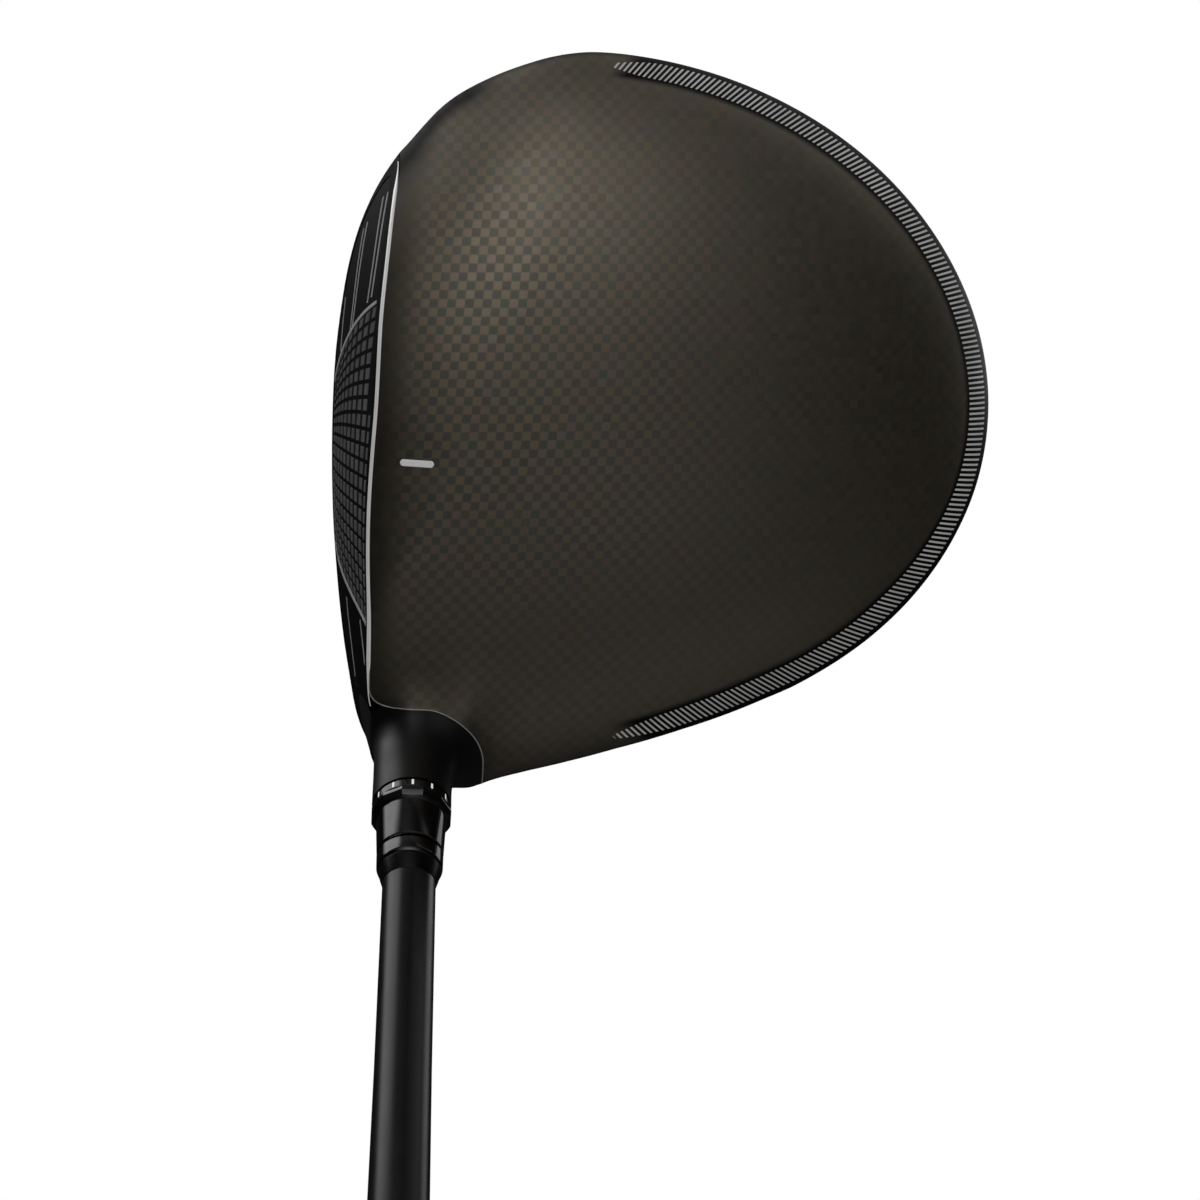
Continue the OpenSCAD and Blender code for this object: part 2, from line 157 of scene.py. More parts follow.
# ------------------------------------------------------------------ head form
def rim_xy(turn):
    """Plan outline of the head: turn 0 is mid front, 1 the toe, 2 the rear and 3 the heel."""
    turn = np.asarray(turn, float)
    quarter = np.floor(turn).astype(int) % 4
    angle = (turn - np.floor(turn)) * math.pi / 2
    cos, sin = np.maximum(np.cos(angle), 0), np.maximum(np.sin(angle), 0)
    picks = [quarter == k for k in range(4)]
    x = np.select(picks, [
        MID_X - TOE_REACH * sin ** (2 / TOE_FRONT),
        MID_X - TOE_REACH * cos ** (2 / TOE_REAR),
        MID_X + HEEL_REACH * sin ** (2 / HEEL_REAR),
        MID_X + HEEL_REACH * cos ** (2 / HEEL_FRONT)])
    y = np.select(picks, [
        TOE_Y - (TOE_Y - FRONT_Y) * cos ** (2 / TOE_FRONT),
        TOE_Y + (REAR_Y - TOE_Y) * sin ** (2 / TOE_REAR),
        HEEL_Y + (REAR_Y - HEEL_Y) * cos ** (2 / HEEL_REAR),
        HEEL_Y - (HEEL_Y - FRONT_Y) * sin ** (2 / HEEL_FRONT)])
    return np.stack([x, y], -1)


def wrapped(values, extra, period=0.0):
    return np.concatenate([values[-extra:] - period, values, values[:extra] + period])


def rim_tables():
    """Angle round the dome centre, rim radius and rim height, the last two smoothed."""
    rim = rim_xy(np.linspace(0, 4, 8001)[:-1])
    spoke = rim - DOME
    angle = np.arctan2(spoke[:, 1], spoke[:, 0])
    order = np.argsort(angle)
    rim_z = 36.0 - 13.0 * np.clip((rim[:, 1] + 30) / 113.0, 0, 1) ** 1.2
    known = wrapped(angle[order], 40, 2 * math.pi)
    even = np.linspace(-math.pi, math.pi, 3601)[:-1]
    tables = [wrapped(even, 30, 2 * math.pi)]
    for values in (np.hypot(*spoke.T), rim_z):
        sampled = np.interp(even, known, wrapped(values[order], 40))
        tables.append(wrapped(blurred(wrapped(sampled, 90), 90, 0.1), 30))
    return tables


RIM_ANGLE, RIM_RADIUS, RIM_Z = rim_tables()


def polar(x, y):
    """Distance from the dome centre, with the rim's radius and height in that direction."""
    across, along = x - DOME[0], y - DOME[1]
    angle = np.arctan2(along, across)
    return (np.hypot(across, along), np.interp(angle, RIM_ANGLE, RIM_RADIUS),
            np.interp(angle, RIM_ANGLE, RIM_Z))


def sole_floor(y):
    return SOLE_Z + 4.5 * (np.maximum(0, y - 15) / 68.0) ** 2


def crown_z(x, y):
    dist, radius, rim_z = polar(x, y)
    r = dist / radius
    return rim_z + (TOP_Z - rim_z) * np.maximum(0, 1 - r * r) ** CROWN_BEND


def sole_z(x, y):
    dist, radius, rim_z = polar(x, y)
    bowl = np.maximum(0, 1 - (dist / radius) ** SOLE_POWER) ** SOLE_BEND
    return rim_z - (rim_z - sole_floor(y)) * bowl


def head_field(points):
    """Rough signed distance to the head form, negative inside."""
    x, y, z = points.T
    dist, radius, rim_z = polar(x, y)
    r = dist / radius
    rise, drop = TOP_Z - rim_z, rim_z - sole_floor(y)
    above = np.maximum((z - rim_z) / rise, 0)
    below = np.maximum((rim_z - z) / drop, 0)
    upper = z >= rim_z
    value = np.where(upper, above ** (1 / CROWN_BEND) + r * r - 1,
                     below ** (1 / SOLE_BEND) + r ** SOLE_POWER - 1)
    slope_z = np.where(upper, above ** (1 / CROWN_BEND - 1) / (CROWN_BEND * rise),
                       below ** (1 / SOLE_BEND - 1) / (SOLE_BEND * drop))
    slope_r = np.where(upper, 2 * r / radius, SOLE_POWER * r ** (SOLE_POWER - 1) / radius)
    slope_r = np.maximum(slope_r, 0.35 / radius)
    return value / np.sqrt(slope_z * slope_z + slope_r * slope_r)


def face_y(x, z):
    bulge = ((x - FACE_X) ** 2 + (z - FACE_Z) ** 2) / (2 * FACE_RADIUS)
    return FACE_Y + (z - FACE_Z) * LOFT + bulge


def face_slopes(x, z):
    return (x - FACE_X) / FACE_RADIUS, LOFT + (z - FACE_Z) / FACE_RADIUS


def behind_face(points):
    return points[:, 1] - face_y(points[:, 0], points[:, 2])


def face_field(points):
    """Signed distance to the face surface, positive in front of it."""
    slope_x, slope_z = face_slopes(points[:, 0], points[:, 2])
    return -behind_face(points) / np.sqrt(1 + slope_x * slope_x + slope_z * slope_z)


def hosel_coords(points):
    """Height along the hosel axis and distance from it."""
    offset = points - HOSEL_ORIGIN
    height = offset @ HOSEL_AXIS
    return height, np.linalg.norm(offset - height[:, None] * HOSEL_AXIS, axis=1)


def body_field(points):
    """Head form cut by the face and blended into the flared hosel."""
    head = smooth_max(head_field(points), face_field(points), 0.9)
    height, dist = hosel_coords(points)
    rise = np.clip((height + 20) / 20.0, 0, 1)
    hosel = dist - (HOSEL_RADIUS + 1.2 * (1 - rise) ** 2)
    hosel = smooth_max(hosel, -30 - height, 6.0)
    y = points[:, 1]
    blend = 2.2 + 7.3 * ease((y + 26.5) / 8.5) + 6.0 * ease((y + 16) / 8.0)
    return smooth_min(head, hosel, blend)


def corner_field(x, y):
    """Distance inside the plan region kept by the hosel corner; negative outside it."""
    a, b = 54.6 - x, y + 16.2
    return 10 - (np.hypot(np.maximum(a, 0), np.maximum(b, 0)) + np.minimum(np.maximum(a, b), 0))


def crown_cut(points, face_gap, corner_gap, radius=3.6):
    """Negative where the crown panel lies, seen from above; radius rounds its corner."""
    front = face_gap - behind_face(points)
    corner = corner_field(points[:, 0], points[:, 1]) + corner_gap
    return (np.minimum(np.maximum(front, corner) + radius, 0)
            + np.hypot(np.maximum(front + radius, 0), np.maximum(corner + radius, 0)) - radius)


def window_field(points):
    """Negative inside the rounded outline of the face opening."""
    total = ((np.abs(points[:, 0] - WINDOW[0]) / WINDOW_HALF[0]) ** WINDOW_POWER
             + (np.abs(points[:, 2] - WINDOW[1]) / WINDOW_HALF[1]) ** WINDOW_POWER)
    return (total ** (1 / WINDOW_POWER) - 1) * WINDOW_HALF[1]


def raise_to_body(points):
    """Moves points near the hosel vertically onto the blended body."""
    low, high = points[:, 2] - 0.6, points[:, 2] + 14.0
    for _ in range(34):
        mid = (low + high) / 2
        value = body_field(np.stack([points[:, 0], points[:, 1], mid], -1))
        low = np.where(value < 0, mid, low)
        high = np.where(value < 0, high, mid)
    height = np.maximum((low + high) / 2, points[:, 2] - 0.6)
    return np.stack([points[:, 0], points[:, 1], height], -1)


def face_top(x, rounds):
    """Height where the face surface meets the crown."""
    z = np.full(len(x), 45.0)
    for _ in range(rounds):
        z = 0.5 * z + 0.5 * crown_z(x, face_y(x, z))
    return z


# ------------------------------------------------------------------ outline corrections
WARP_X = np.arange(-70.0, 66.1, 0.5)


def warp_table(stations, shifts):
    """Shift along Y at each WARP_X, from shifts at stations along X."""
    values = np.interp(WARP_X, stations, shifts)
    ends = np.full(16, values[0]), np.full(16, values[-1])
    return blurred(np.concatenate([ends[0], values, ends[1]]), 16, 0.5)


WARP_LOW = warp_table(      # lower part of the front
    [-66, -59, -55, -52, -48, -41, -34, -27, -20, -13, -6, 4.6,
     11.7, 18.8, 26, 33, 40.4, 47.6, 51.3, 55, 58.5, 62, 66],
    [-1.25, -1.1, -0.3, 0.9, 2.15, 0.68, -0.28, -0.62, -0.60, -0.61, -0.44, -0.16,
     0.02, 0.22, 0.54, 0.81, 1.17, 1.52, 1.48, 1.8, 3.5, 4.8, 5.0])
WARP_TOP = warp_table(      # upper edge of the front
    [-66, -59, -55, -52, -48, -45, -40, -35.5, -27, -23, -19,
     -6, 4, 12, 20, 43, 47, 51, 55, 58.5, 62, 66],
    [-1.25, -1.1, -0.3, 0.9, 2.05, 1.75, 1.2, 0.85, 0.40, 0.17, 0,
     0, -0.3, -0.6, -0.75, -0.9, -0.6, 0.4, 1.7, 3.6, 4.6, 5.0])
WARP_REAR = warp_table(
    [-60, -45, -33, -26, -19, -12, -8, -0.6, 6.7, 14, 21.4, 29, 36, 45, 60],
    [0.0, 0.08, 0.25, 0.36, 0.39, 0.37, 0.28, 0.04, -0.16, -0.3, -0.15, 0.2, 0.25, 0.05, 0.0])
# shift of the heel side along X, by station along Y
HEEL_STATIONS = [-12.0, -6, 0, 3, 10, 18, 30, 45, 50, 64, 75, 84]
HEEL_SHIFTS = [1.0, 1.0, 0.55, 0.3, -0.05, -0.38, -0.42, -0.06, 0.28, 0.45, 0.25, 0.0]
TOP_STATIONS = np.arange(-60.0, 62.1, 2.0)
TOP_HEIGHTS = np.maximum(face_top(TOP_STATIONS, 60), 30.0)


def warp_shift(points):
    x, y, z = points.T
    height, dist = hosel_coords(points)
    hosel_mask = np.where(height > -34, ease((dist - 7.6) / 6.0), 1.0)
    rise = np.clip((z - 8) / (np.interp(x, TOP_STATIONS, TOP_HEIGHTS) - 8), 0, 1) ** 3
    low, top = np.interp(x, WARP_X, WARP_LOW), np.interp(x, WARP_X, WARP_TOP)
    shift_y = (low + (top - low) * rise) * ease((-2.0 - y) / 18.0) * hosel_mask
    shift_y += np.interp(x, WARP_X, WARP_REAR) * ease((y - 24.0) / 34.0) * ease((z - 12.0) / 8.0)
    heel_mask = np.where(height > -34, ease((dist - 6.7) / 5.0), 1.0)
    shift_x = np.interp(y, HEEL_STATIONS, HEEL_SHIFTS) * ease((x - 22) / 22.0) * heel_mask
    return np.stack([shift_x, shift_y, np.zeros(len(points))], -1)


def warp(points, normals=None):
    """Moves points, and turns their normals if given, by the outline corrections."""
    moved = points + warp_shift(points)
    if normals is None:
        return moved
    step = 0.05
    jacobian = np.zeros((len(points), 3, 3))
    for k in range(3):
        offset = step * np.eye(3)[k]
        change = warp_shift(points + offset) - warp_shift(points - offset)
        jacobian[:, :, k] = change / (2 * step)
    jacobian += np.eye(3)[None]
    turned_normals = np.linalg.solve(np.transpose(jacobian, (0, 2, 1)), normals[:, :, None])
    return moved, unit(turned_normals[:, :, 0])


# ------------------------------------------------------------------ mesh helpers
def make_object(name, verts, mat, quads=None, tris=None, normals=None, sharp=38.0, attrs=None):
    """Smooth-shaded object from millimetre vertices, with given normals or a sharp angle."""
    mesh = bpy.data.meshes.new(name)
    quads = np.zeros((0, 4), int) if quads is None else np.asarray(quads, int)
    tris = np.zeros((0, 3), int) if tris is None else np.asarray(tris, int)
    mesh.vertices.add(len(verts))
    mesh.vertices.foreach_set("co", (verts * MM).astype(np.float32).ravel())
    loops = np.concatenate([quads.ravel(), tris.ravel()]).astype(np.int32)
    mesh.loops.add(len(loops))
    mesh.loops.foreach_set("vertex_index", loops)
    starts = np.concatenate([np.arange(len(quads)) * 4, len(quads) * 4 + np.arange(len(tris)) * 3])
    mesh.polygons.add(len(starts))
    mesh.polygons.foreach_set("loop_start", starts.astype(np.int32))
    mesh.update(calc_edges=True)
    mesh.validate(verbose=False)
    mesh.polygons.foreach_set("use_smooth", np.full(len(mesh.polygons), True, bool))
    for key, values in (attrs or {}).items():
        attribute = mesh.attributes.new(key, "FLOAT", "POINT")
        attribute.data.foreach_set("value", np.asarray(values, np.float32))
    if normals is not None:
        mesh.normals_split_custom_set_from_vertices([tuple(n) for n in normals])
    elif sharp is not None:
        mesh.set_sharp_from_angle(angle=math.radians(sharp))
    ob = bpy.data.objects.new(name, mesh)
    bpy.context.scene.collection.objects.link(ob)
    mesh.materials.append(mat)
    return ob


def register(ob, part, rides="head"):
    """Ties an object to its moving body and to the CAD part it stands for."""
    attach(ob, rides)
    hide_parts(part)


class Parts:
    """Collects pieces of one mesh; the point attribute "tag" picks their paint."""

    def __init__(self):
        self.verts, self.quads, self.tris, self.tags = [], [], [], []
        self.count = 0

    def add(self, verts, quads=None, tris=None, tag=0.0):
        if quads is not None:
            self.quads.append(quads + self.count)
        if tris is not None:
            self.tris.append(tris + self.count)
        self.verts.append(verts)
        self.tags.append(np.full(len(verts), tag))
        self.count += len(verts)

    def make(self, name, mat, sharp=38.0):
        return make_object(name, np.concatenate(self.verts), mat,
                           np.concatenate(self.quads) if self.quads else None,
                           np.concatenate(self.tris) if self.tris else None,
                           sharp=sharp, attrs={"tag": np.concatenate(self.tags)})


def grid_faces(rows, columns, wrap=False):
    """Quads of a grid whose vertex index is row * columns + column."""
    row, column = np.meshgrid(np.arange(rows if wrap else rows - 1), np.arange(columns - 1),
                              indexing="ij")
    here = row * columns + column
    after = ((row + 1) % rows) * columns + column
    return np.stack([here, after, after + 1, here + 1], -1).reshape(-1, 4)


def to_tris(quads):
    return np.concatenate([quads[:, [0, 1, 2]], quads[:, [0, 2, 3]]])


def face_cross(verts, faces):
    return np.cross(verts[faces[:, 1]] - verts[faces[:, 0]],
                    verts[faces[:, 2]] - verts[faces[:, 0]])


def orient(verts, faces, outward):
    """Reverses all faces if on the whole they look against the outward vectors."""
    if (face_cross(verts, faces) * outward[faces[:, 0]]).sum() < 0:
        return faces[:, ::-1]
    return faces


def rounded(profile, steps=4):
    """A profile of (radius, height[, corner radius]) with its corners rounded."""
    out = []
    for i, (r, h, *corner) in enumerate(profile):
        if i in (0, len(profile) - 1) or not corner:
            out.append((r, h))
            continue
        here = np.array([r, h])
        back = np.array(profile[i - 1][:2]) - here
        ahead = np.array(profile[i + 1][:2]) - here
        back_len, ahead_len = np.linalg.norm(back), np.linalg.norm(ahead)
        reach = min(corner[0], back_len * 0.45, ahead_len * 0.45)
        first, last = here + back / back_len * reach, here + ahead / ahead_len * reach
        for j in range(steps + 1):
            t = j / steps
            out.append(tuple((1 - t) ** 2 * first + 2 * t * (1 - t) * here + t * t * last))
    return out


def densify(profile, step):
    out = [profile[0]]
    for (r0, h0), (r1, h1) in zip(profile[:-1], profile[1:]):
        count = max(1, int(math.ceil(math.hypot(r1 - r0, h1 - h0) / step)))
        for k in range(1, count + 1):
            out.append((r0 + (r1 - r0) * k / count, h0 + (h1 - h0) * k / count))
    return out


def lathe(profile, seg, turning, radius_fn=None):
    """Turned surface; an outer wall runs upwards. radius_fn(angle, r, h) may reshape it."""
    origin, axis, side = turning
    profile = np.array(profile, float)
    count = len(profile)
    angle = (np.arange(seg) * 2 * math.pi / seg)[:, None].repeat(count, 1)
    r = profile[:, 0][None, :].repeat(seg, 0)
    h = profile[:, 1][None, :].repeat(seg, 0)
    if radius_fn is not None:
        r = radius_fn(angle, r, h)
    radial = np.cos(angle)[..., None] * side + np.sin(angle)[..., None] * np.cross(axis, side)
    verts = (origin + h[..., None] * axis + r[..., None] * radial).reshape(-1, 3)
    # quads that touch the axis become triangles sharing the first ray's axis vertex
    faces = grid_faces(seg, count, wrap=True)
    on_axis = profile[:, 0] < 1e-6
    touching = on_axis[faces % count].sum(1)
    closing = faces[touching == 2]
    starts_on_axis = on_axis[closing[:, :1] % count]
    tris = np.where(starts_on_axis, closing[:, [0, 2, 3]], closing[:, [0, 1, 2]])
    tris = np.where(on_axis[tris % count], tris % count, tris)
    return verts, faces[touching == 0], tris


def turned(name, part, profile, turning, mat, seg, radius_fn=None, rides="shaft_assembly",
           sharp=32.0, steps=4):
    parts = Parts()
    parts.add(*lathe(rounded(profile, steps), seg, turning, radius_fn))
    register(parts.make(name, mat, sharp=sharp), part, rides)


def tube(path, radius, seg=8):
    """Closed bead of round section along a path."""
    tangent = unit(np.gradient(path, axis=0))
    side = unit(np.cross(tangent, Z_AXIS))
    over = np.cross(side, tangent)
    angle = (np.arange(seg) * 2 * math.pi / seg)[None, :, None]
    verts = path[:, None] + radius * (np.cos(angle) * side[:, None] + np.sin(angle) * over[:, None])
    ring, k = np.meshgrid(np.arange(len(path) - 1), np.arange(seg), indexing="ij")
    here, after = ring * seg + k, ring * seg + (k + 1) % seg
    quads = np.stack([here, after, after + seg, here + seg], -1).reshape(-1, 4)
    ends = [np.arange(seg)[::-1], (len(path) - 1) * seg + np.arange(seg)]
    tris = [[end[0], end[j], end[j + 1]] for end in ends for j in range(1, seg - 1)]
    return verts.reshape(-1, 3), quads, np.array(tris)


def surface_nets(field, low, high, step):
    """Quad mesh of field = 0 on a regular grid, with a vertex in every cell it crosses."""
    size = np.ceil((np.array(high) - np.array(low)) / step).astype(int) + 1
    axes = [low[k] + np.arange(size[k]) * step for k in range(3)]
    value = field(np.stack(np.meshgrid(*axes, indexing="ij"), -1).reshape(-1, 3)).reshape(size)
    inside = value < 0
    corners = [(i, j, k) for i in (0, 1) for j in (0, 1) for k in (0, 1)]
    halves = [slice(0, -1), slice(1, None)]
    filled = np.zeros(size - 1, np.int8)
    for i, j, k in corners:
        filled += inside[halves[i], halves[j], halves[k]]
    mixed = (filled > 0) & (filled < 8)
    cells = np.argwhere(mixed)
    index = -np.ones(size - 1, np.int64)
    index[mixed] = np.arange(len(cells))
    # each vertex is the mean of the crossings on its cell's edges
    total = np.zeros((len(cells), 3))
    crossings = np.zeros(len(cells))
    at_corner = {c: value[tuple((cells + c).T)] for c in corners}
    for start in corners:
        for d in range(3):
            if start[d]:
                continue
            stop = tuple(1 if k == d else start[k] for k in range(3))
            v0, v1 = at_corner[start], at_corner[stop]
            crossed = (v0 < 0) != (v1 < 0)
            point = np.array(start, float)[None, :].repeat(len(cells), 0)
            point[:, d] += np.where(crossed, v0 / np.where(crossed, v0 - v1, 1), 0)
            total[crossed] += point[crossed]
            crossings[crossed] += 1
    verts = (cells + total / crossings[:, None]) * step + np.array(low)
    faces = []
    for d in range(3):
        e1, e2 = [(1, 2), (2, 0), (0, 1)][d]
        before, after = [slice(None)] * 3, [slice(None)] * 3
        before[d], after[d] = halves
        edges = np.argwhere(inside[tuple(before)] != inside[tuple(after)])
        edges = edges[(edges[:, e1] > 0) & (edges[:, e2] > 0)
                      & (edges[:, e1] < size[e1] - 1) & (edges[:, e2] < size[e2] - 1)]
        quad = []
        for o1, o2 in ((-1, -1), (0, -1), (0, 0), (-1, 0)):
            cell = edges.copy()
            cell[:, e1] += o1
            cell[:, e2] += o2
            quad.append(index[tuple(cell.T)])
        quad = np.stack(quad, -1)
        outside = ~inside[tuple(edges.T)]
        quad[outside] = quad[outside][:, ::-1]
        faces.append(quad)
    return verts, np.concatenate(faces)


def compact(verts, faces):
    """Drops unused vertices."""
    used = np.unique(faces)
    index = -np.ones(len(verts), int)
    index[used] = np.arange(len(used))
    return verts[used], index[faces]


def clip(verts, tris, side):
    """Keeps the part of a triangle mesh where side is negative."""
    side = np.where(np.abs(side) < 1e-7, -1e-7, side)
    kept = side < 0
    count = kept[tris].sum(1)

    def turn_to(chosen, wanted):
        first = np.argmax(kept[chosen] == wanted, 1)
        row = np.arange(len(chosen))
        return np.stack([chosen[row, (first + k) % 3] for k in range(3)], -1)

    one = turn_to(tris[count == 1], True)
    two = turn_to(tris[count == 2], False)
    edges = np.concatenate([one[:, [0, 1]], one[:, [0, 2]], two[:, [0, 1]], two[:, [0, 2]]])
    ends, index = np.unique(np.sort(edges, 1), axis=0, return_inverse=True)
    start, stop = ends[:, 0], ends[:, 1]
    part = side[start] / (side[start] - side[stop])
    cut = verts[start] + part[:, None] * (verts[stop] - verts[start])
    one_a, one_b, two_a, two_b = np.split(index.ravel() + len(verts),
                                          np.cumsum([len(one), len(one), len(two)]))
    faces = np.concatenate([tris[count == 3],
                            np.stack([one[:, 0], one_a, one_b], -1),
                            np.stack([two_a, two[:, 1], two[:, 2]], -1),
                            np.stack([two_a, two[:, 2], two_b], -1)])
    return compact(np.concatenate([verts, cut]), faces)


def drop_slivers(verts, tris, size=1e-5):
    return tris[np.linalg.norm(face_cross(verts, tris), axis=1) > size * size]


def boundary_edges(tris):
    edges = np.concatenate([tris[:, [0, 1]], tris[:, [1, 2]], tris[:, [2, 0]]])
    _, index, count = np.unique(np.sort(edges, 1), axis=0, return_inverse=True,
                                return_counts=True)
    return edges[count[index.ravel()] == 1]


def shell(verts, tris, normals, thickness):
    """Closed shell: outer skin, inner skin below it and a wall at every free edge."""
    count = len(verts)
    edges = boundary_edges(tris)
    ids = np.unique(edges)
    index = -np.ones(count, int)
    index[ids] = np.arange(len(ids))
    inner = verts - normals * thickness
    upper, lower = 2 * count, 2 * count + len(ids)
    first, second = index[edges[:, 0]], index[edges[:, 1]]
    wall = np.concatenate([
        np.stack([upper + second, upper + first, lower + first], -1),
        np.stack([upper + second, lower + first, lower + second], -1)])
    outward = unit(np.cross(verts[edges[:, 1]] - verts[edges[:, 0]], normals[edges[:, 0]]))
    wall_normals = np.zeros((len(ids), 3))
    np.add.at(wall_normals, first, outward)
    np.add.at(wall_normals, second, outward)
    wall_normals = unit(wall_normals)
    return (np.concatenate([verts, inner, verts[ids], inner[ids]]),
            np.concatenate([tris, tris[:, ::-1] + count, wall]),
            np.concatenate([normals, -normals, wall_normals, wall_normals]))


def star_boundary(field, centre, angles, far=130.0):
    """Distance from the centre to the first place field turns positive, along each angle."""
    def value(dist):
        return field(centre[0] + dist * np.cos(angles), centre[1] + dist * np.sin(angles))

    low, high = np.zeros(len(angles)), np.full(len(angles), far)
    found = np.zeros(len(angles), bool)
    levels = np.linspace(0, far, 260)
    for start, stop in zip(levels[:-1], levels[1:]):
        crossed = (value(stop) > 0) & ~found
        low[crossed], high[crossed] = start, stop
        found |= crossed
    for _ in range(40):
        mid = (low + high) / 2
        outside = value(mid) > 0
        low = np.where(outside, low, mid)
        high = np.where(outside, mid, high)
    return (low + high) / 2


def fan_points(centre, angles, outer, steps, height, inner=0.0):
    """Points from inner to outer along each angle, with a height from height(x, y)."""
    inner = np.zeros_like(outer) + inner
    dist = inner[:, None] + (outer - inner)[:, None] * steps[None, :]
    x = centre[0] + dist * np.cos(angles)[:, None]
    y = centre[1] + dist * np.sin(angles)[:, None]
    z = height(x.ravel(), y.ravel())
    return np.stack([x.ravel(), y.ravel(), z], -1)


def disc_points(centre, angles, outer, steps, height):
    """Fan points followed by the centre point."""
    middle = [[*centre, height(centre[:1], centre[1:])[0]]]
    return np.concatenate([fan_points(centre, angles, outer, steps, height), middle])


def disc_faces(verts, normals, rays, rings):
    """Triangles of disc_points, looking along the normals."""
    i = np.arange(rays)
    middle = np.stack([np.full(rays, len(verts) - 1), i * rings, ((i + 1) % rays) * rings], -1)
    return np.concatenate([orient(verts, tris, normals)
                           for tris in (to_tris(grid_faces(rays, rings, wrap=True)), middle)])


def full_turn(rays):
    return np.arange(rays) * 2 * math.pi / rays


# ------------------------------------------------------------------ shader helpers
class Value:
    """An output socket that takes plain arithmetic; each operation adds a math node."""

    def __init__(self, net, socket):
        self.net, self.socket = net, socket

    def __add__(self, other):
        return self.net.math("ADD", self, other)

    def __radd__(self, other):
        return self.net.math("ADD", other, self)

    def __sub__(self, other):
        return self.net.math("SUBTRACT", self, other)

    def __rsub__(self, other):
        return self.net.math("SUBTRACT", other, self)

    def __mul__(self, other):
        return self.net.math("MULTIPLY", self, other)

    def __truediv__(self, other):
        return self.net.math("DIVIDE", self, other)


def rgba(colour):
    return colour if isinstance(colour, Value) else (*colour, 1.0)


class Net:
    """Short ways to fill the node tree of a material or world."""

    def __init__(self, owner):
        owner.use_nodes = True
        self.nodes, self.links = owner.node_tree.nodes, owner.node_tree.links
        self.nodes.clear()

    def node(self, kind, inputs=None, **settings):
        node = self.nodes.new(kind)
        for key, setting in settings.items():
            setattr(node, key, setting)
        for key, value in (inputs or {}).items():
            if isinstance(value, Value):
                self.links.new(value.socket, node.inputs[key])
            else:
                node.inputs[key].default_value = value
        return node

    def value(self, kind, inputs=None, output=0, **settings):
        return Value(self, self.node(kind, inputs, **settings).outputs[output])

    def math(self, operation, *values, clamp=False):
        return self.value("ShaderNodeMath", dict(enumerate(values)), operation=operation,
                          use_clamp=clamp)

    def ramp(self, value, over, to=(0.0, 1.0), kind="SMOOTHSTEP"):
        """Maps the range over onto the range to."""
        inputs = {"Value": value, "From Min": over[0], "From Max": over[1],
                  "To Min": to[0], "To Max": to[1]}
        return self.value("ShaderNodeMapRange", inputs, "Result", interpolation_type=kind)

    def linear(self, value, over, to):
        return self.ramp(value, over, to, kind="LINEAR")

    def mix(self, factor, first, second, kind="MIX"):
        return self.value("ShaderNodeMix", {0: factor, 6: rgba(first), 7: rgba(second)}, 2,
                          data_type="RGBA", blend_type=kind)

    def scale(self, colour, factor):
        return self.value("ShaderNodeVectorMath", {0: colour, "Scale": factor},
                          operation="SCALE")

    def noise(self, place, scale, detail=2.0, rough=0.5):
        return self.value("ShaderNodeTexNoise", {"Vector": place, "Scale": scale,
                                                 "Detail": detail, "Roughness": rough}, "Fac")

    def attr(self, name):
        return self.value("ShaderNodeAttribute", output="Fac", attribute_name=name)

    def coords(self):
        return self.value("ShaderNodeTexCoord", output="Object")

    def split(self, vector):
        return [Value(self, out) for out in self.node("ShaderNodeSeparateXYZ", {0: vector}).outputs]

    def bump(self, height, strength, depth):
        """depth in millimetres."""
        return self.value("ShaderNodeBump", {"Strength": strength, "Distance": depth * MM,
                                             "Height": height})

    def camera_switch(self, other, seen):
        """One shader for camera rays, another for all other rays."""
        is_camera = self.value("ShaderNodeLightPath", output="Is Camera Ray")
        return self.value("ShaderNodeMixShader", {0: is_camera, 1: other, 2: seen})

    def finish(self, shader, kind="Material"):
        self.node("ShaderNodeOutput" + kind, {0: shader})

    def principled(self, base, rough, metal, normal, spec=0.5, coat=0.0, coat_rough=0.08,
                   glow=None, glow_colour=(1.0, 1.0, 0.985)):
        inputs = {"Base Color": rgba(base), "Roughness": rough, "Metallic": metal, "IOR": 1.5,
                  "Specular IOR Level": spec, "Coat Weight": coat,
                  "Coat Roughness": coat_rough, "Normal": normal}
        if glow is not None:
            inputs["Emission Color"] = rgba(glow_colour)
            inputs["Emission Strength"] = glow
        self.finish(self.value("ShaderNodeBsdfPrincipled", inputs))


def new_material(name):
    mat = bpy.data.materials.new(name)
    return mat, Net(mat)


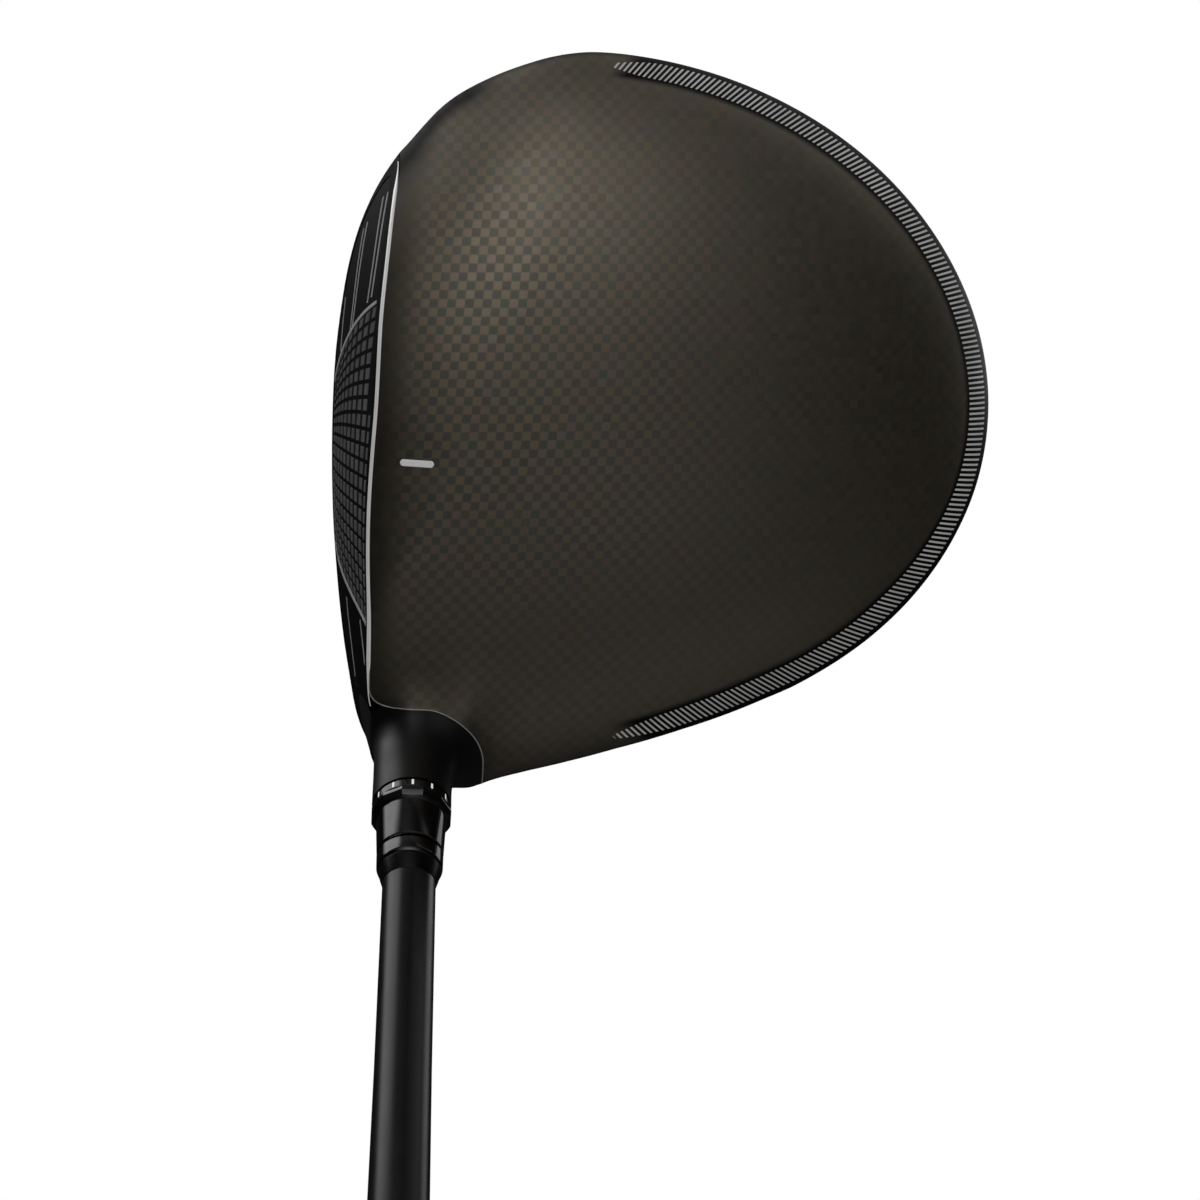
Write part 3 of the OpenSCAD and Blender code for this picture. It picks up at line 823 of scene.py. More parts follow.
# ------------------------------------------------------------------ materials
def crown_material():
    """Satin weave of brown and grey-green cells, with an edge band of slanting light dashes."""
    mat, net = new_material("crown_carbon")
    place = net.coords()
    x, y = [axis * 1000.0 for axis in net.split(place)[:2]]
    cell = 1.42             # weave cell in mm; the two skews slant its rows and columns
    skew_x, skew_y = 0.0535, 0.06
    thread_turn = 2 * math.pi / 0.235
    column = (x + y * skew_x) / cell
    row = (y + x * skew_y) / cell
    wave_x = net.math("SINE", column * math.pi)
    wave_y = net.math("SINE", row * math.pi)
    contrast, middle = 2.6, 0.5
    check = net.math("MULTIPLY_ADD", wave_x * wave_y, contrast, middle, clamp=True)
    cell_id = net.value("ShaderNodeCombineXYZ", {
        0: net.math("FLOOR", column), 1: net.math("FLOOR", row), 2: 0.0})
    white = net.node("ShaderNodeTexWhiteNoise", {"Vector": cell_id}, noise_dimensions="2D")
    random = Value(net, white.outputs["Value"])
    # thread grain: the two kinds of cell run crosswise
    thread_x = net.math("SINE", x * thread_turn)
    thread_y = net.math("SINE", y * thread_turn)
    thread = check * thread_x + (1.0 - check) * thread_y
    cloud = net.noise(place, scale=60.0, detail=3.0, rough=0.55)
    # how strongly the two kinds of cell part, across the crown and by the face: the weave is real,
    # its changing contrast is partly painted sheen that follows how the light falls
    front = net.ramp(y, over=(-24.0, 52.0), to=(1.0, 0.26))
    toe = net.ramp(x, over=(-62.0, -20.0), to=(0.35, 1.0))
    heel = net.ramp(x, over=(0.0, 46.0), to=(1.0, 0.42))
    part = front * toe * heel * net.ramp(cloud, over=(0.35, 0.65), to=(0.66, 0.94))
    part = part * net.ramp(net.attr("edge"), over=(1.2, 7.0), to=(0.12, 1.0))
    brown = net.mix(random, (0.485, 0.38, 0.295), (0.45, 0.395, 0.28))
    grey = net.mix(random, (0.225, 0.24, 0.20), (0.265, 0.25, 0.215))
    mean = (0.36, 0.318, 0.252)
    colour = net.mix(net.math("MINIMUM", part, 1.0), mean, net.mix(check, grey, brown))
    random_tint = 0.07
    colour = net.mix(random_tint, colour, Value(net, white.outputs["Color"]), "SOFT_LIGHT")
    # painted shade: darker by the face, on the steep toe corner, at the hosel seam and at the rim
    colour = net.scale(colour, net.ramp(net.attr("edge"), over=(0.3, 6.0), to=(0.5, 1.0)))
    normal_z = net.split(net.value("ShaderNodeNewGeometry", output="Normal"))[2]
    corner = (net.ramp(y, over=(-14.0, -4.0), to=(1.0, 0.0))
              * net.ramp(x, over=(-34.0, -22.0), to=(1.0, 0.0)))
    # painted shade: the steep toe corner, where the normal tilts away, is made dark and dull
    steep_shade = corner * net.ramp(normal_z, over=(0.50, 0.80), to=(0.92, 0.0))
    colour = net.scale(colour, 1.0 - steep_shade)
    colour = net.scale(colour, net.ramp(net.attr("seam"), over=(0.2, 3.0), to=(0.80, 1.0)))
    colour = net.scale(colour, net.ramp(net.attr("rimh"), over=(0.4, 3.2), to=(0.30, 1.0)))
    thread_shade = 0.03
    colour = net.scale(colour, 1.0 + thread * thread_shade)
    # dashu runs 0 to 1 across the dash row, dash counts dashes, dasht fades the row's ends
    across, fade = net.attr("dashu"), net.attr("dasht")
    wave = net.math("ABSOLUTE", net.math("FRACT", net.attr("dash")) - 0.5)
    dash_half = 0.20        # half width of a dash, in pitches
    dash = net.ramp(dash_half - wave, over=(-0.035, 0.035))
    reach = net.math("SQRT", fade) * 0.5
    dash = dash * net.ramp(reach - net.math("ABSOLUTE", across - 0.5), over=(-0.02, 0.02))
    dash = dash * net.ramp(fade, over=(0.02, 0.06))
    band = (net.ramp(across, over=(1.05, 1.45), to=(1.0, 0.0))
            * net.ramp(fade, over=(0.0, 0.6)))
    black, white_paint = (0.012, 0.012, 0.012), (0.85, 0.85, 0.83)
    colour = net.mix(band, colour, black)
    worn = net.ramp(cloud, over=(0.3, 0.7), to=(0.86, 1.0))
    colour = net.mix(dash * worn, colour, white_paint)
    check_gloss, weave_metal = -0.05, 0.92
    rough = (net.linear(random, over=(0, 1), to=(0.43, 0.49))
             + (check - 0.5) * (part * check_gloss))
    metal = (1.0 - net.math("MAXIMUM", band, 0.0)) * weave_metal
    metal = metal * (1.0 - dash) * (1.0 - steep_shade)
    grain = net.noise(place, scale=9000.0)
    cell_relief, thread_relief, grain_relief = 0.5, 0.06, 0.35
    relief = (net.math("ABSOLUTE", wave_x * wave_y) * cell_relief
              + (thread * thread_relief + grain * grain_relief))
    open_weave = 1.0 - net.math("MAXIMUM", band, 0.0)
    weave_coat, weave_spec, least_spec = 0.04, 0.30, 0.10
    # the white dashes glow a little: painted light on the print
    net.principled(colour, rough, metal, net.bump(relief, strength=0.22, depth=0.02),
                   spec=(open_weave * weave_spec + least_spec) * (1.0 - steep_shade),
                   coat=open_weave * weave_coat * (1.0 - steep_shade), coat_rough=0.25,
                   glow=dash * net.ramp(cloud, over=(0.3, 0.7), to=(0.12, 0.17)),
                   glow_colour=(1.0, 1.0, 0.98))
    return mat


def face_material():
    """Black textured face: tag 0 is the base, 0.5 a raised cell and 0.9 or more a light line."""
    mat, net = new_material("face_polymer")
    place = net.coords()
    tag = net.attr("tag")
    cell = net.ramp(tag, over=(0.3, 0.4)) * net.ramp(tag, over=(0.6, 0.7), to=(1.0, 0.0))
    line = net.ramp(tag, over=(0.8, 0.9))
    grain = net.noise(place, scale=7000.0, detail=3.0, rough=0.6)
    cloud = net.noise(place, scale=300.0)
    shade = net.linear(grain, over=(0.25, 0.75), to=(0.8, 1.2))
    base_colour, cell_colour, line_colour = (0.0022, 0.0022, 0.0024), (0.19,) * 3, (0.70,) * 3
    cell_shade = shade * net.ramp(cloud, over=(0.3, 0.7), to=(0.8, 1.2))
    colour = net.mix(cell, net.scale(base_colour, shade), net.scale(cell_colour, cell_shade))
    colour = net.mix(line, colour, net.scale(line_colour, shade))
    base_rough, cell_rough = 0.55, 0.1
    # painted light: the raised cells and the light lines glow a little, though they are no lamp
    cell_glow, line_glow = 0.009, 0.045
    net.principled(colour, base_rough + cell * cell_rough, metal=0.0,
                   normal=net.bump(grain, strength=0.25, depth=0.02), spec=0.06, coat_rough=0.1,
                   glow=shade * (cell * cell_glow + line * line_glow),
                   glow_colour=(1.0, 1.0, 1.0))
    return mat


def sole_material():
    """Bare carbon twill under a clear coat."""
    mat, net = new_material("sole_carbon")
    place = net.coords()
    x, y = [axis * 1000.0 for axis in net.split(place)[:2]]
    cell = 2.0
    repeat, share = 4.0, 0.45       # cells in a twill repeat, and the dark share of it
    thread_turn = 2 * math.pi / 0.3
    steps = net.math("FLOOR", x / cell) + net.math("FLOOR", y / cell)
    twill = net.math("GREATER_THAN", net.math("FRACT", steps / repeat), share)
    thread_x = net.math("SINE", x * thread_turn)
    thread_y = net.math("SINE", y * thread_turn)
    thread = twill * thread_x + (1.0 - twill) * thread_y
    cloud = net.noise(place, scale=80.0, detail=3.0)
    dark, light = (0.012, 0.012, 0.013), (0.034, 0.034, 0.036)
    thread_shade, twill_rough, base_rough = 0.08, 0.06, 0.30
    shade = net.ramp(cloud, over=(0.3, 0.7), to=(0.85, 1.15)) + thread * thread_shade
    net.principled(net.scale(net.mix(twill, dark, light), shade),
                   twill * twill_rough + base_rough, metal=0.3, coat=0.6,
                   normal=net.bump(thread, strength=0.15, depth=0.01))
    return mat


def surface(name, base, rough, metal, vary, cloud_scale, grain_scale, bump, depth, spec=0.5,
            rough_vary=0.08, tag_base=None, tag_rough=None, tag_metal=None, tag_spec=None,
            glow=None, glow_tag=None):
    """Cloudy, finely grained finish; tag_ values are a second paint where the tag is 1."""
    mat, net = new_material(name)
    place = net.coords()
    cloud = net.noise(place, cloud_scale, detail=3.0, rough=0.6)
    grain = net.noise(place, grain_scale, rough=0.6)
    grain_vary = vary * 0.6
    shade = (net.linear(cloud, over=(0.25, 0.75), to=(1 - vary, 1 + vary))
             * net.linear(grain, over=(0.2, 0.8), to=(1 - grain_vary, 1 + grain_vary)))
    colour = net.scale(base, shade)
    rough = (net.linear(cloud, over=(0.3, 0.7),
                        to=(rough - rough_vary / 2, rough + rough_vary / 2))
             + net.linear(grain, over=(0.2, 0.8), to=(-rough_vary / 3, rough_vary / 3)))
    if tag_base is not None:
        tagged = net.ramp(net.attr("tag"), over=(0.45, 0.55))
        tag_shade = net.linear(grain, over=(0.2, 0.8), to=(0.93, 1.07))
        colour = net.mix(tagged, colour, net.scale(tag_base, tag_shade))
        rough = rough * (1.0 - tagged) + tagged * tag_rough
        if tag_metal is not None:
            metal = (1.0 - tagged) * metal + tagged * tag_metal
        if tag_spec is not None:
            spec = (1.0 - tagged) * spec + tagged * tag_spec
    if glow_tag is not None:
        glow = net.ramp(net.attr("tag"), over=(0.6, 0.9), to=glow_tag)
    net.principled(colour, rough, metal, net.bump(grain, bump, depth), spec,
                   glow=None if glow is None else shade * glow)
    return mat


# colour, roughness, metallic, colour variation, cloud scale, grain scale, bump strength,
# bump depth in mm, other arguments of surface()
FINISHES = {
    "body_satin_black": ((0.0075, 0.0075, 0.008), 0.44, 0.0, 0.16, 260.0, 6500.0, 0.10, 0.010,
                         dict(spec=0.55, tag_base=(0.0022, 0.0022, 0.0024), tag_rough=0.60,
                              tag_spec=0.05)),
    "ring_satin_black": ((0.006, 0.006, 0.0065), 0.40, 0.0, 0.15, 300.0, 7000.0, 0.10, 0.010,
                         dict(spec=0.4)),
    "sleeve_gloss_black": ((0.105, 0.105, 0.108), 0.10, 1.0, 0.10, 500.0, 9000.0, 0.035, 0.006,
                           dict(rough_vary=0.03)),
    "ferrule_ring_gloss": ((0.11, 0.11, 0.112), 0.11, 1.0, 0.10, 600.0, 9000.0, 0.03, 0.006,
                           dict(rough_vary=0.03)),
    "ferrule_black": ((0.0045, 0.0045, 0.005), 0.28, 0.0, 0.2, 500.0, 8000.0, 0.05, 0.006,
                      dict(spec=0.30)),
    "shaft_satin_black": ((0.0075, 0.0075, 0.008), 0.30, 0.0, 0.14, 90.0, 5200.0, 0.05, 0.008,
                          dict(spec=0.62)),
    # the white ticks also glow: painted light
    "index_white": ((0.85, 0.85, 0.84), 0.45, 0.0, 0.05, 900.0, 8000.0, 0.05, 0.006,
                    dict(glow=0.55)),
    "grip_rubber": ((0.014, 0.014, 0.0145), 0.62, 0.0, 0.22, 140.0, 3600.0, 0.30, 0.05,
                    dict(spec=0.35, tag_base=(0.055, 0.055, 0.057), tag_rough=0.7)),
    "cap_rubber": ((0.016, 0.016, 0.017), 0.55, 0.0, 0.2, 200.0, 4200.0, 0.3, 0.04,
                   dict(spec=0.35)),
    # the white mark also glows: painted light
    "mark_paint": ((0.85, 0.85, 0.83), 0.42, 0.0, 0.06, 900.0, 7000.0, 0.12, 0.01,
                   dict(glow=0.26)),
    "weight_steel": ((0.40, 0.40, 0.41), 0.30, 1.0, 0.10, 300.0, 6000.0, 0.08, 0.01,
                     dict(tag_base=(0.10, 0.10, 0.10), tag_rough=0.5, tag_metal=0.6)),
    "screw_steel": ((0.26, 0.26, 0.27), 0.33, 1.0, 0.10, 500.0, 7000.0, 0.08, 0.008, {}),
    "port_anodised": ((0.07, 0.07, 0.075), 0.34, 0.9, 0.12, 300.0, 6500.0, 0.08, 0.01, {}),
    "pad_metal": ((0.16, 0.16, 0.165), 0.36, 0.95, 0.12, 300.0, 5200.0, 0.10, 0.012,
                  dict(tag_base=(0.03, 0.03, 0.03), tag_rough=0.5, tag_metal=0.2)),
    "slot_polymer": ((0.02, 0.02, 0.021), 0.58, 0.0, 0.2, 300.0, 5200.0, 0.25, 0.03,
                     dict(spec=0.35)),
    "titanium_inner": ((0.23, 0.22, 0.215), 0.38, 1.0, 0.12, 200.0, 5200.0, 0.12, 0.015, {}),
    "tube_metal": ((0.20, 0.20, 0.21), 0.32, 1.0, 0.10, 300.0, 6000.0, 0.08, 0.01, {}),
    "washer_steel": ((0.46, 0.46, 0.47), 0.28, 1.0, 0.08, 500.0, 7000.0, 0.06, 0.008, {}),
    "grip_tape_paper": ((0.55, 0.48, 0.33), 0.75, 0.0, 0.15, 200.0, 3000.0, 0.2, 0.03, {}),
    "plug_cork": ((0.42, 0.29, 0.17), 0.85, 0.0, 0.3, 900.0, 4200.0, 0.4, 0.05, {}),
    "gasket_rubber": ((0.02, 0.02, 0.02), 0.7, 0.0, 0.2, 400.0, 5000.0, 0.3, 0.03, {}),
    # light grey trim whose glow is painted highlight, strong on the topline (tag 1) and faint on the
    # seam
    "bead_paint_and_highlight": ((0.74, 0.74, 0.73), 0.42, 0.6, 0.05, 300.0, 6000.0, 0.05, 0.006,
                    dict(glow_tag=(0.05, 0.27))),
}
CROWN_MAT, FACE_MAT, SOLE_MAT = crown_material(), face_material(), sole_material()
MATS = {name: surface(name, *row[:-1], **row[-1]) for name, row in FINISHES.items()}

# ------------------------------------------------------------------ crown panel
CROWN_CENTRE = np.array([0.0, 10.0])
DASH_CENTRE = np.array([-5.2, -34.2])   # the dashes point at this plan point
# rim turn, distance of the dashes' outer ends inside the rim, the same for their inner ends
DASH_ROW = np.array([
    (1.0, 0.98, 3.9), (1.15, 1.03, 4.16), (1.3, 1.14, 4.43), (1.5, 1.30, 4.81),
    (1.7, 1.48, 5.19), (1.9, 1.67, 5.59), (2.0, 1.76, 5.78), (2.1, 1.88, 6.07),
    (2.3, 2.06, 6.57), (2.5, 1.96, 6.35), (2.7, 1.64, 5.52), (2.85, 1.49, 5.21)])
DASH_START, DASH_END, DASH_FADE = 1.03, 2.685, 0.06     # rim turns


def crown_outline(x, y):
    z = crown_z(x, y)
    cut = crown_cut(np.stack([x, y, z], -1), face_gap=0.40, corner_gap=0.03)
    return np.maximum(cut, polar(x, y)[2] + 0.3 - z)


def dash_attributes(verts):
    """Dash count along the rim, place across the dash row and fade at the row's ends."""
    turn = np.linspace(0, 4, 6001)[:-1]
    rim = rim_xy(turn)
    spoke = rim - DASH_CENTRE
    angle = np.arctan2(spoke[:, 1], spoke[:, 0])
    order = np.argsort(angle)
    turn, rim, angle = turn[order], rim[order], angle[order]
    length = np.linalg.norm(np.diff(rim, axis=0), axis=1)
    pitch = (0.95 + 0.11 * np.clip((turn[1:] - 2.0) / 0.7, 0, 1)
             + 0.03 * np.clip((2.0 - turn[1:]) / 0.9, 0, 1))
    dashes = np.concatenate([[0], np.cumsum(length / pitch)])
    at = np.arctan2(verts[:, 1] - DASH_CENTRE[1], verts[:, 0] - DASH_CENTRE[0])
    at_turn = np.interp(at, angle, turn)
    off_x = verts[:, 0] - np.interp(at, angle, rim[:, 0])
    off_y = verts[:, 1] - np.interp(at, angle, rim[:, 1])
    along = unit(rim_xy(at_turn + 0.01) - rim_xy(at_turn - 0.01))
    from_rim = np.abs(off_x * along[:, 1] - off_y * along[:, 0])
    outer = np.interp(at_turn, DASH_ROW[:, 0], DASH_ROW[:, 1])
    inner = np.interp(at_turn, DASH_ROW[:, 0], DASH_ROW[:, 2])
    fade = (np.clip((at_turn - DASH_START) / DASH_FADE, 0, 1)
            * np.clip((DASH_END - at_turn) / DASH_FADE, 0, 1))
    return {"dash": np.interp(at, angle, dashes),
            "dashu": np.clip((from_rim - outer) / (inner - outer), -1, 3), "dasht": fade}


def build_crown():
    rays, rings = 700, 57
    angles = full_turn(rays)
    steps = np.sin(np.linspace(0, 1, rings + 1)[1:] * math.pi / 2) ** 0.92
    outer = star_boundary(crown_outline, CROWN_CENTRE, angles)
    verts = disc_points(CROWN_CENTRE, angles, outer, steps / steps[-1], crown_z)
    # follow the body where the hosel swells under the panel
    dist = hosel_coords(verts)[1]
    near = (dist < 40) & (verts[:, 0] > 20) & (verts[:, 1] < 25)
    blend = (ease((verts[:, 0] - 20.0) / 8.0) * ease((30.0 - verts[:, 1]) / 12.0)
             * ease(behind_face(verts) / 1.2))
    raised = raise_to_body(verts[near])
    verts[near, 2] += (raised[:, 2] - verts[near, 2]) * blend[near]
    normals = np.where(near[:, None], unit(gradient(body_field, verts)),
                       unit(gradient(head_field, verts)))
    count = len(verts)
    tris = disc_faces(verts, normals, rays, rings)
    verts, tris, normals = shell(verts, tris, normals, thickness=1.0)
    attrs = dash_attributes(verts)
    attrs["edge"] = np.clip(behind_face(verts), 0, 30)
    attrs["rimh"] = np.clip(verts[:, 2] - polar(verts[:, 0], verts[:, 1])[2], 0, 30)
    attrs["seam"] = np.clip(-corner_field(verts[:, 0], verts[:, 1]), 0, 30)
    attrs["outer"] = np.arange(len(verts)) < count
    verts, normals = warp(verts, normals)
    register(make_object("crown_shell", verts, CROWN_MAT, tris=tris, normals=normals,
                         attrs=attrs), "crown_panel")


# ------------------------------------------------------------------ front body
# each cut is negative where the body stays
def rear_cut(points):
    return points[:, 1] - SPLIT_Y


def seat_cut(points):
    height, dist = hosel_coords(points)
    return np.where(dist < 20, height - HOSEL_SEAT, -5.0)


def crown_opening(points):
    rim_z = polar(points[:, 0], points[:, 1])[2]
    return -np.maximum(crown_cut(points, face_gap=0.37, corner_gap=0.0),
                       (rim_z + 0.27) - points[:, 2])


def face_opening(points):
    return -np.maximum(np.maximum(window_field(points), -0.8 - face_field(points)),
                       head_field(points) + SHELL_MARGIN)


def slot_opening(points):
    off_x = points[:, 0] - np.clip(points[:, 0], *SLOT_X)
    return -np.maximum(np.hypot(off_x, points[:, 1] - SLOT_Y) - 1.6, points[:, 2] - 20)


def pad_opening(points):
    return -np.maximum(np.hypot(points[:, 0], points[:, 1]) - (PAD_RADIUS + 0.08),
                       points[:, 2] - 6)


def bolt_opening(points):
    height, dist = hosel_coords(points)
    return -np.maximum(dist - 6.06, height + 40)


def build_front_body():
    step = 0.72
    verts, quads = surface_nets(body_field, (-69.5, -48.0, -1.5), (73.0, 15.6, 64.5), step)
    verts = project(body_field, verts, rounds=5)
    tris = to_tris(quads)
    for cut in (rear_cut, seat_cut, crown_opening, face_opening, slot_opening, pad_opening,
                bolt_opening):
        verts, tris = clip(verts, tris, cut(verts))
    verts, tris = compact(verts, drop_slivers(verts, tris))
    normals = unit(gradient(body_field, verts))
    tris = orient(verts, tris, normals)
    # the wall thins towards the top of the hosel
    height, dist = hosel_coords(verts)
    wall = 0.5 + 0.9 * np.clip(np.maximum((dist - 7.2) / 3.0, (-24 - height) / 6.0), 0, 1)
    verts, tris, normals = shell(verts, tris, normals, wall[:, None])
    # the second paint covers the face side, clear of the hosel
    dist = hosel_coords(verts)[1]
    tag = ease((1.9 - behind_face(verts)) / 0.6) * ease((dist - 9.0) / 2.0)
    verts, normals = warp(verts, normals)
    register(make_object("front_body", verts, MATS["body_satin_black"], tris=tris,
                         normals=normals, attrs={"tag": tag}), "body_frame")


# ------------------------------------------------------------------ topline bead and crown seam, light ridges that carry painted highlight
BEAD_TOE, BEAD_HEEL, BEAD_HALF = -45.6, 44.3, 0.43
SEAM_CENTRE = np.array([20.0, 4.0])
SEAM_START, SEAM_END = (38.0, -28.5), (63.5, -5.0)   # the seam lies between these directions


def resample(path, step):
    dist = np.concatenate([[0], np.cumsum(np.linalg.norm(np.diff(path, axis=0), axis=1))])
    even = np.linspace(0, dist[-1], max(3, int(dist[-1] / step) + 1))
    return np.stack([np.interp(even, dist, path[:, k]) for k in range(3)], -1)


def seam_outline(x, y):
    return crown_cut(np.stack([x, y, crown_z(x, y)], -1), face_gap=0.385, corner_gap=0.015)


def add_topline(parts):
    """Half-round ridge where the face meets the crown, in light grey paint with a glow that is
    painted highlight.
    """
    x = np.linspace(BEAD_TOE, BEAD_HEEL, 260)
    z = face_top(x, 40)
    path = project(body_field, np.stack([x, face_y(x, z), z], -1), rounds=8)
    normals = unit(gradient(body_field, path))
    side = unit(np.cross(normals, unit(np.gradient(path, axis=0))))
    if side[100, 1] < 0:
        side = -side
    half = BEAD_HALF * (np.clip((x - BEAD_TOE) / 5.0, 0.25, 1)
                        * np.clip((BEAD_HEEL - x) / 8.0, 0.25, 1))
    section = np.linspace(math.pi, 0, 9)
    rows = [path + side * (math.cos(a) * half)[:, None]
            + normals * (math.sin(a) * half * 0.62 - 0.02)[:, None] for a in section]
    verts = np.stack(rows, 1).reshape(-1, 3)
    quads = orient(verts, grid_faces(len(path), len(section)),
                   np.repeat(normals, len(section), 0))
    parts.add(warp(verts), quads, tag=1.0)


def add_seam(parts):
    """Thin light ridge along the crown's edge by the hosel: painted highlight where the edge catches
    the light.
    """
    first, last = [math.atan2(end[1] - SEAM_CENTRE[1], end[0] - SEAM_CENTRE[0])
                   for end in (SEAM_START, SEAM_END)]
    angles = np.linspace(first, last, 240)
    radius = star_boundary(seam_outline, SEAM_CENTRE, angles, far=60.0)
    x = SEAM_CENTRE[0] + radius * np.cos(angles)
    y = SEAM_CENTRE[1] + radius * np.sin(angles)
    path = np.stack([x, y, crown_z(x, y)], -1)
    dist, rim_radius, _ = polar(x, y)
    path = resample(raise_to_body(path[dist < rim_radius * 0.9995]), 0.35)
    normals = unit(gradient(body_field, path))
    verts, quads, tris = tube(path + normals * 0.02, radius=0.11)
    # tag 0.55 gives the seam ridge only a faint painted glow
    parts.add(warp(verts), quads, tris, tag=0.55)


def build_trim():
    parts = Parts()
    add_topline(parts)
    add_seam(parts)
    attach(parts.make("topline_bead", MATS["bead_paint_and_highlight"], sharp=60), "head")


# ------------------------------------------------------------------ sole shell
PORT_HOLE = 9.66
RING_DEPTH = 7.0        # the rim ring reaches this far below the rim


def sole_outline(x, y):
    return np.maximum(SPLIT_Y + SPLIT_GAP - y,
                      sole_z(x, y) - (polar(x, y)[2] - (RING_DEPTH + 0.05)))


def port_outline(x, y):
    offset = np.stack([x, y, sole_z(x, y)], -1) - WEIGHT_ORIGIN
    radial = offset - (offset @ WEIGHT_AXIS)[:, None] * WEIGHT_AXIS
    return np.linalg.norm(radial, axis=1) - PORT_HOLE


def build_sole():
    rays, rings = 460, 54
    centre = WEIGHT_ORIGIN[:2]
    angles = full_turn(rays)
    inner = star_boundary(port_outline, centre, angles, far=30.0)
    outer = star_boundary(sole_outline, centre, angles)
    steps = 1 - (1 - np.linspace(0, 1, rings)) ** 1.35
    verts = fan_points(centre, angles, outer, steps, sole_z, inner)
    normals = unit(gradient(head_field, verts))
    tris = orient(verts, to_tris(grid_faces(rays, rings, wrap=True)), normals)
    verts, tris, normals = shell(verts, tris, normals, thickness=1.2)
    verts, normals = warp(verts, normals)
    register(make_object("sole_shell", verts, SOLE_MAT, tris=tris, normals=normals),
             "sole_panel")


# ------------------------------------------------------------------ rim ring round the back
def build_rim_ring():
    end_y = SPLIT_Y - 1.5
    toe_turns, heel_turns = np.linspace(0.9, 2, 2000), np.linspace(2, 3.0, 2000)
    first = np.interp(end_y, rim_xy(toe_turns)[:, 1], toe_turns)
    last = np.interp(-end_y, -rim_xy(heel_turns)[:, 1], heel_turns)
    rim = rim_xy(np.linspace(first, last, 560))
    heights = np.concatenate([-RING_DEPTH + RING_DEPTH * (np.linspace(0, 1, 30) ** 0.8),
                              [0.08, 0.16, 0.25]])
    _, radius, rim_z = [column[:, None] for column in polar(rim[:, 0], rim[:, 1])]
    spoke = unit(rim - DOME)
    z = rim_z + heights[None, :]
    below = np.clip((rim_z - z) / (rim_z - sole_floor(rim[:, 1])[:, None]), 0, 1)
    above = np.clip((z - rim_z) / (TOP_Z - rim_z), 0, 1)
    r = np.where(z < rim_z, (1 - below ** (1 / SOLE_BEND)) ** (1 / SOLE_POWER),
                 np.sqrt(1 - above ** (1 / CROWN_BEND)))
    # two fine grooves run along the ring
    groove = (0.22 * np.exp(-((heights + 3.4) / 0.32) ** 2)
              + 0.22 * np.exp(-((heights + 5.2) / 0.25) ** 2))
    dist = r * radius - groove[None, :]
    verts = np.stack([DOME[0] + dist * spoke[:, 0:1], DOME[1] + dist * spoke[:, 1:2], z], -1)
    verts = verts.reshape(-1, 3)
    tris = to_tris(grid_faces(len(rim), len(heights)))
    verts, tris = clip(verts, tris, SPLIT_Y + SPLIT_GAP - verts[:, 1])
    verts, tris = compact(verts, drop_slivers(verts, tris))
    tris = orient(verts, tris, unit(gradient(head_field, verts)))
    normals = np.zeros_like(verts)
    for k in range(3):
        np.add.at(normals, tris[:, k], face_cross(verts, tris))
    verts, tris, normals = shell(verts, tris, unit(normals), thickness=1.5)
    verts, normals = warp(verts, normals)
    register(make_object("rim_ring", verts, MATS["ring_satin_black"], tris=tris,
                         normals=normals), "rear_ring")


# ------------------------------------------------------------------ face skin and plate
SKIN_DEPTH = 0.14               # skin base behind the nominal face surface
FAN_PITCH, FAN_COUNT = 2.72, 10  # fan lines each side of the middle
FAN_EDGE = FAN_PITCH * FAN_COUNT
CELL_ROWS = np.linspace(5.0, 56.5, 13)
CELL_GAP_X, CELL_GAP_Z = 0.34, 0.85
CELL_TAG, EDGE_TAG, LINE_TAG = 0.5, 1.0, 0.9
# score lines, three (x, z) points each
SCORE_LINES = [
    [(-40.3, 39.5), (-31.4, 44.1), (-22.8, 46.1)], [(-39.6, 36.9), (-30.6, 42.0), (-21.8, 43.8)],
    [(-35.4, 29.3), (-26.3, 32.6), (-17.4, 33.2)], [(-34.3, 27.0), (-25.4, 30.2), (-16.8, 31.2)],
    [(-22.2, 19.0), (-17.3, 19.9), (-12.7, 21.0)], [(30.1, 27.8), (39.4, 29.9), (46.2, 35.6)],
    [(31.1, 46.2), (34.7, 48.2), (38.3, 49.9)]]


def face_outline(x, z):
    points = np.stack([x, face_y(x, z) + 0.3, z], -1)
    return np.maximum(window_field(points), head_field(points) + SHELL_MARGIN)


def inside_face(x, z, margin=0.35):
    return face_outline(np.array([x], float), np.array([z], float))[0] < -margin


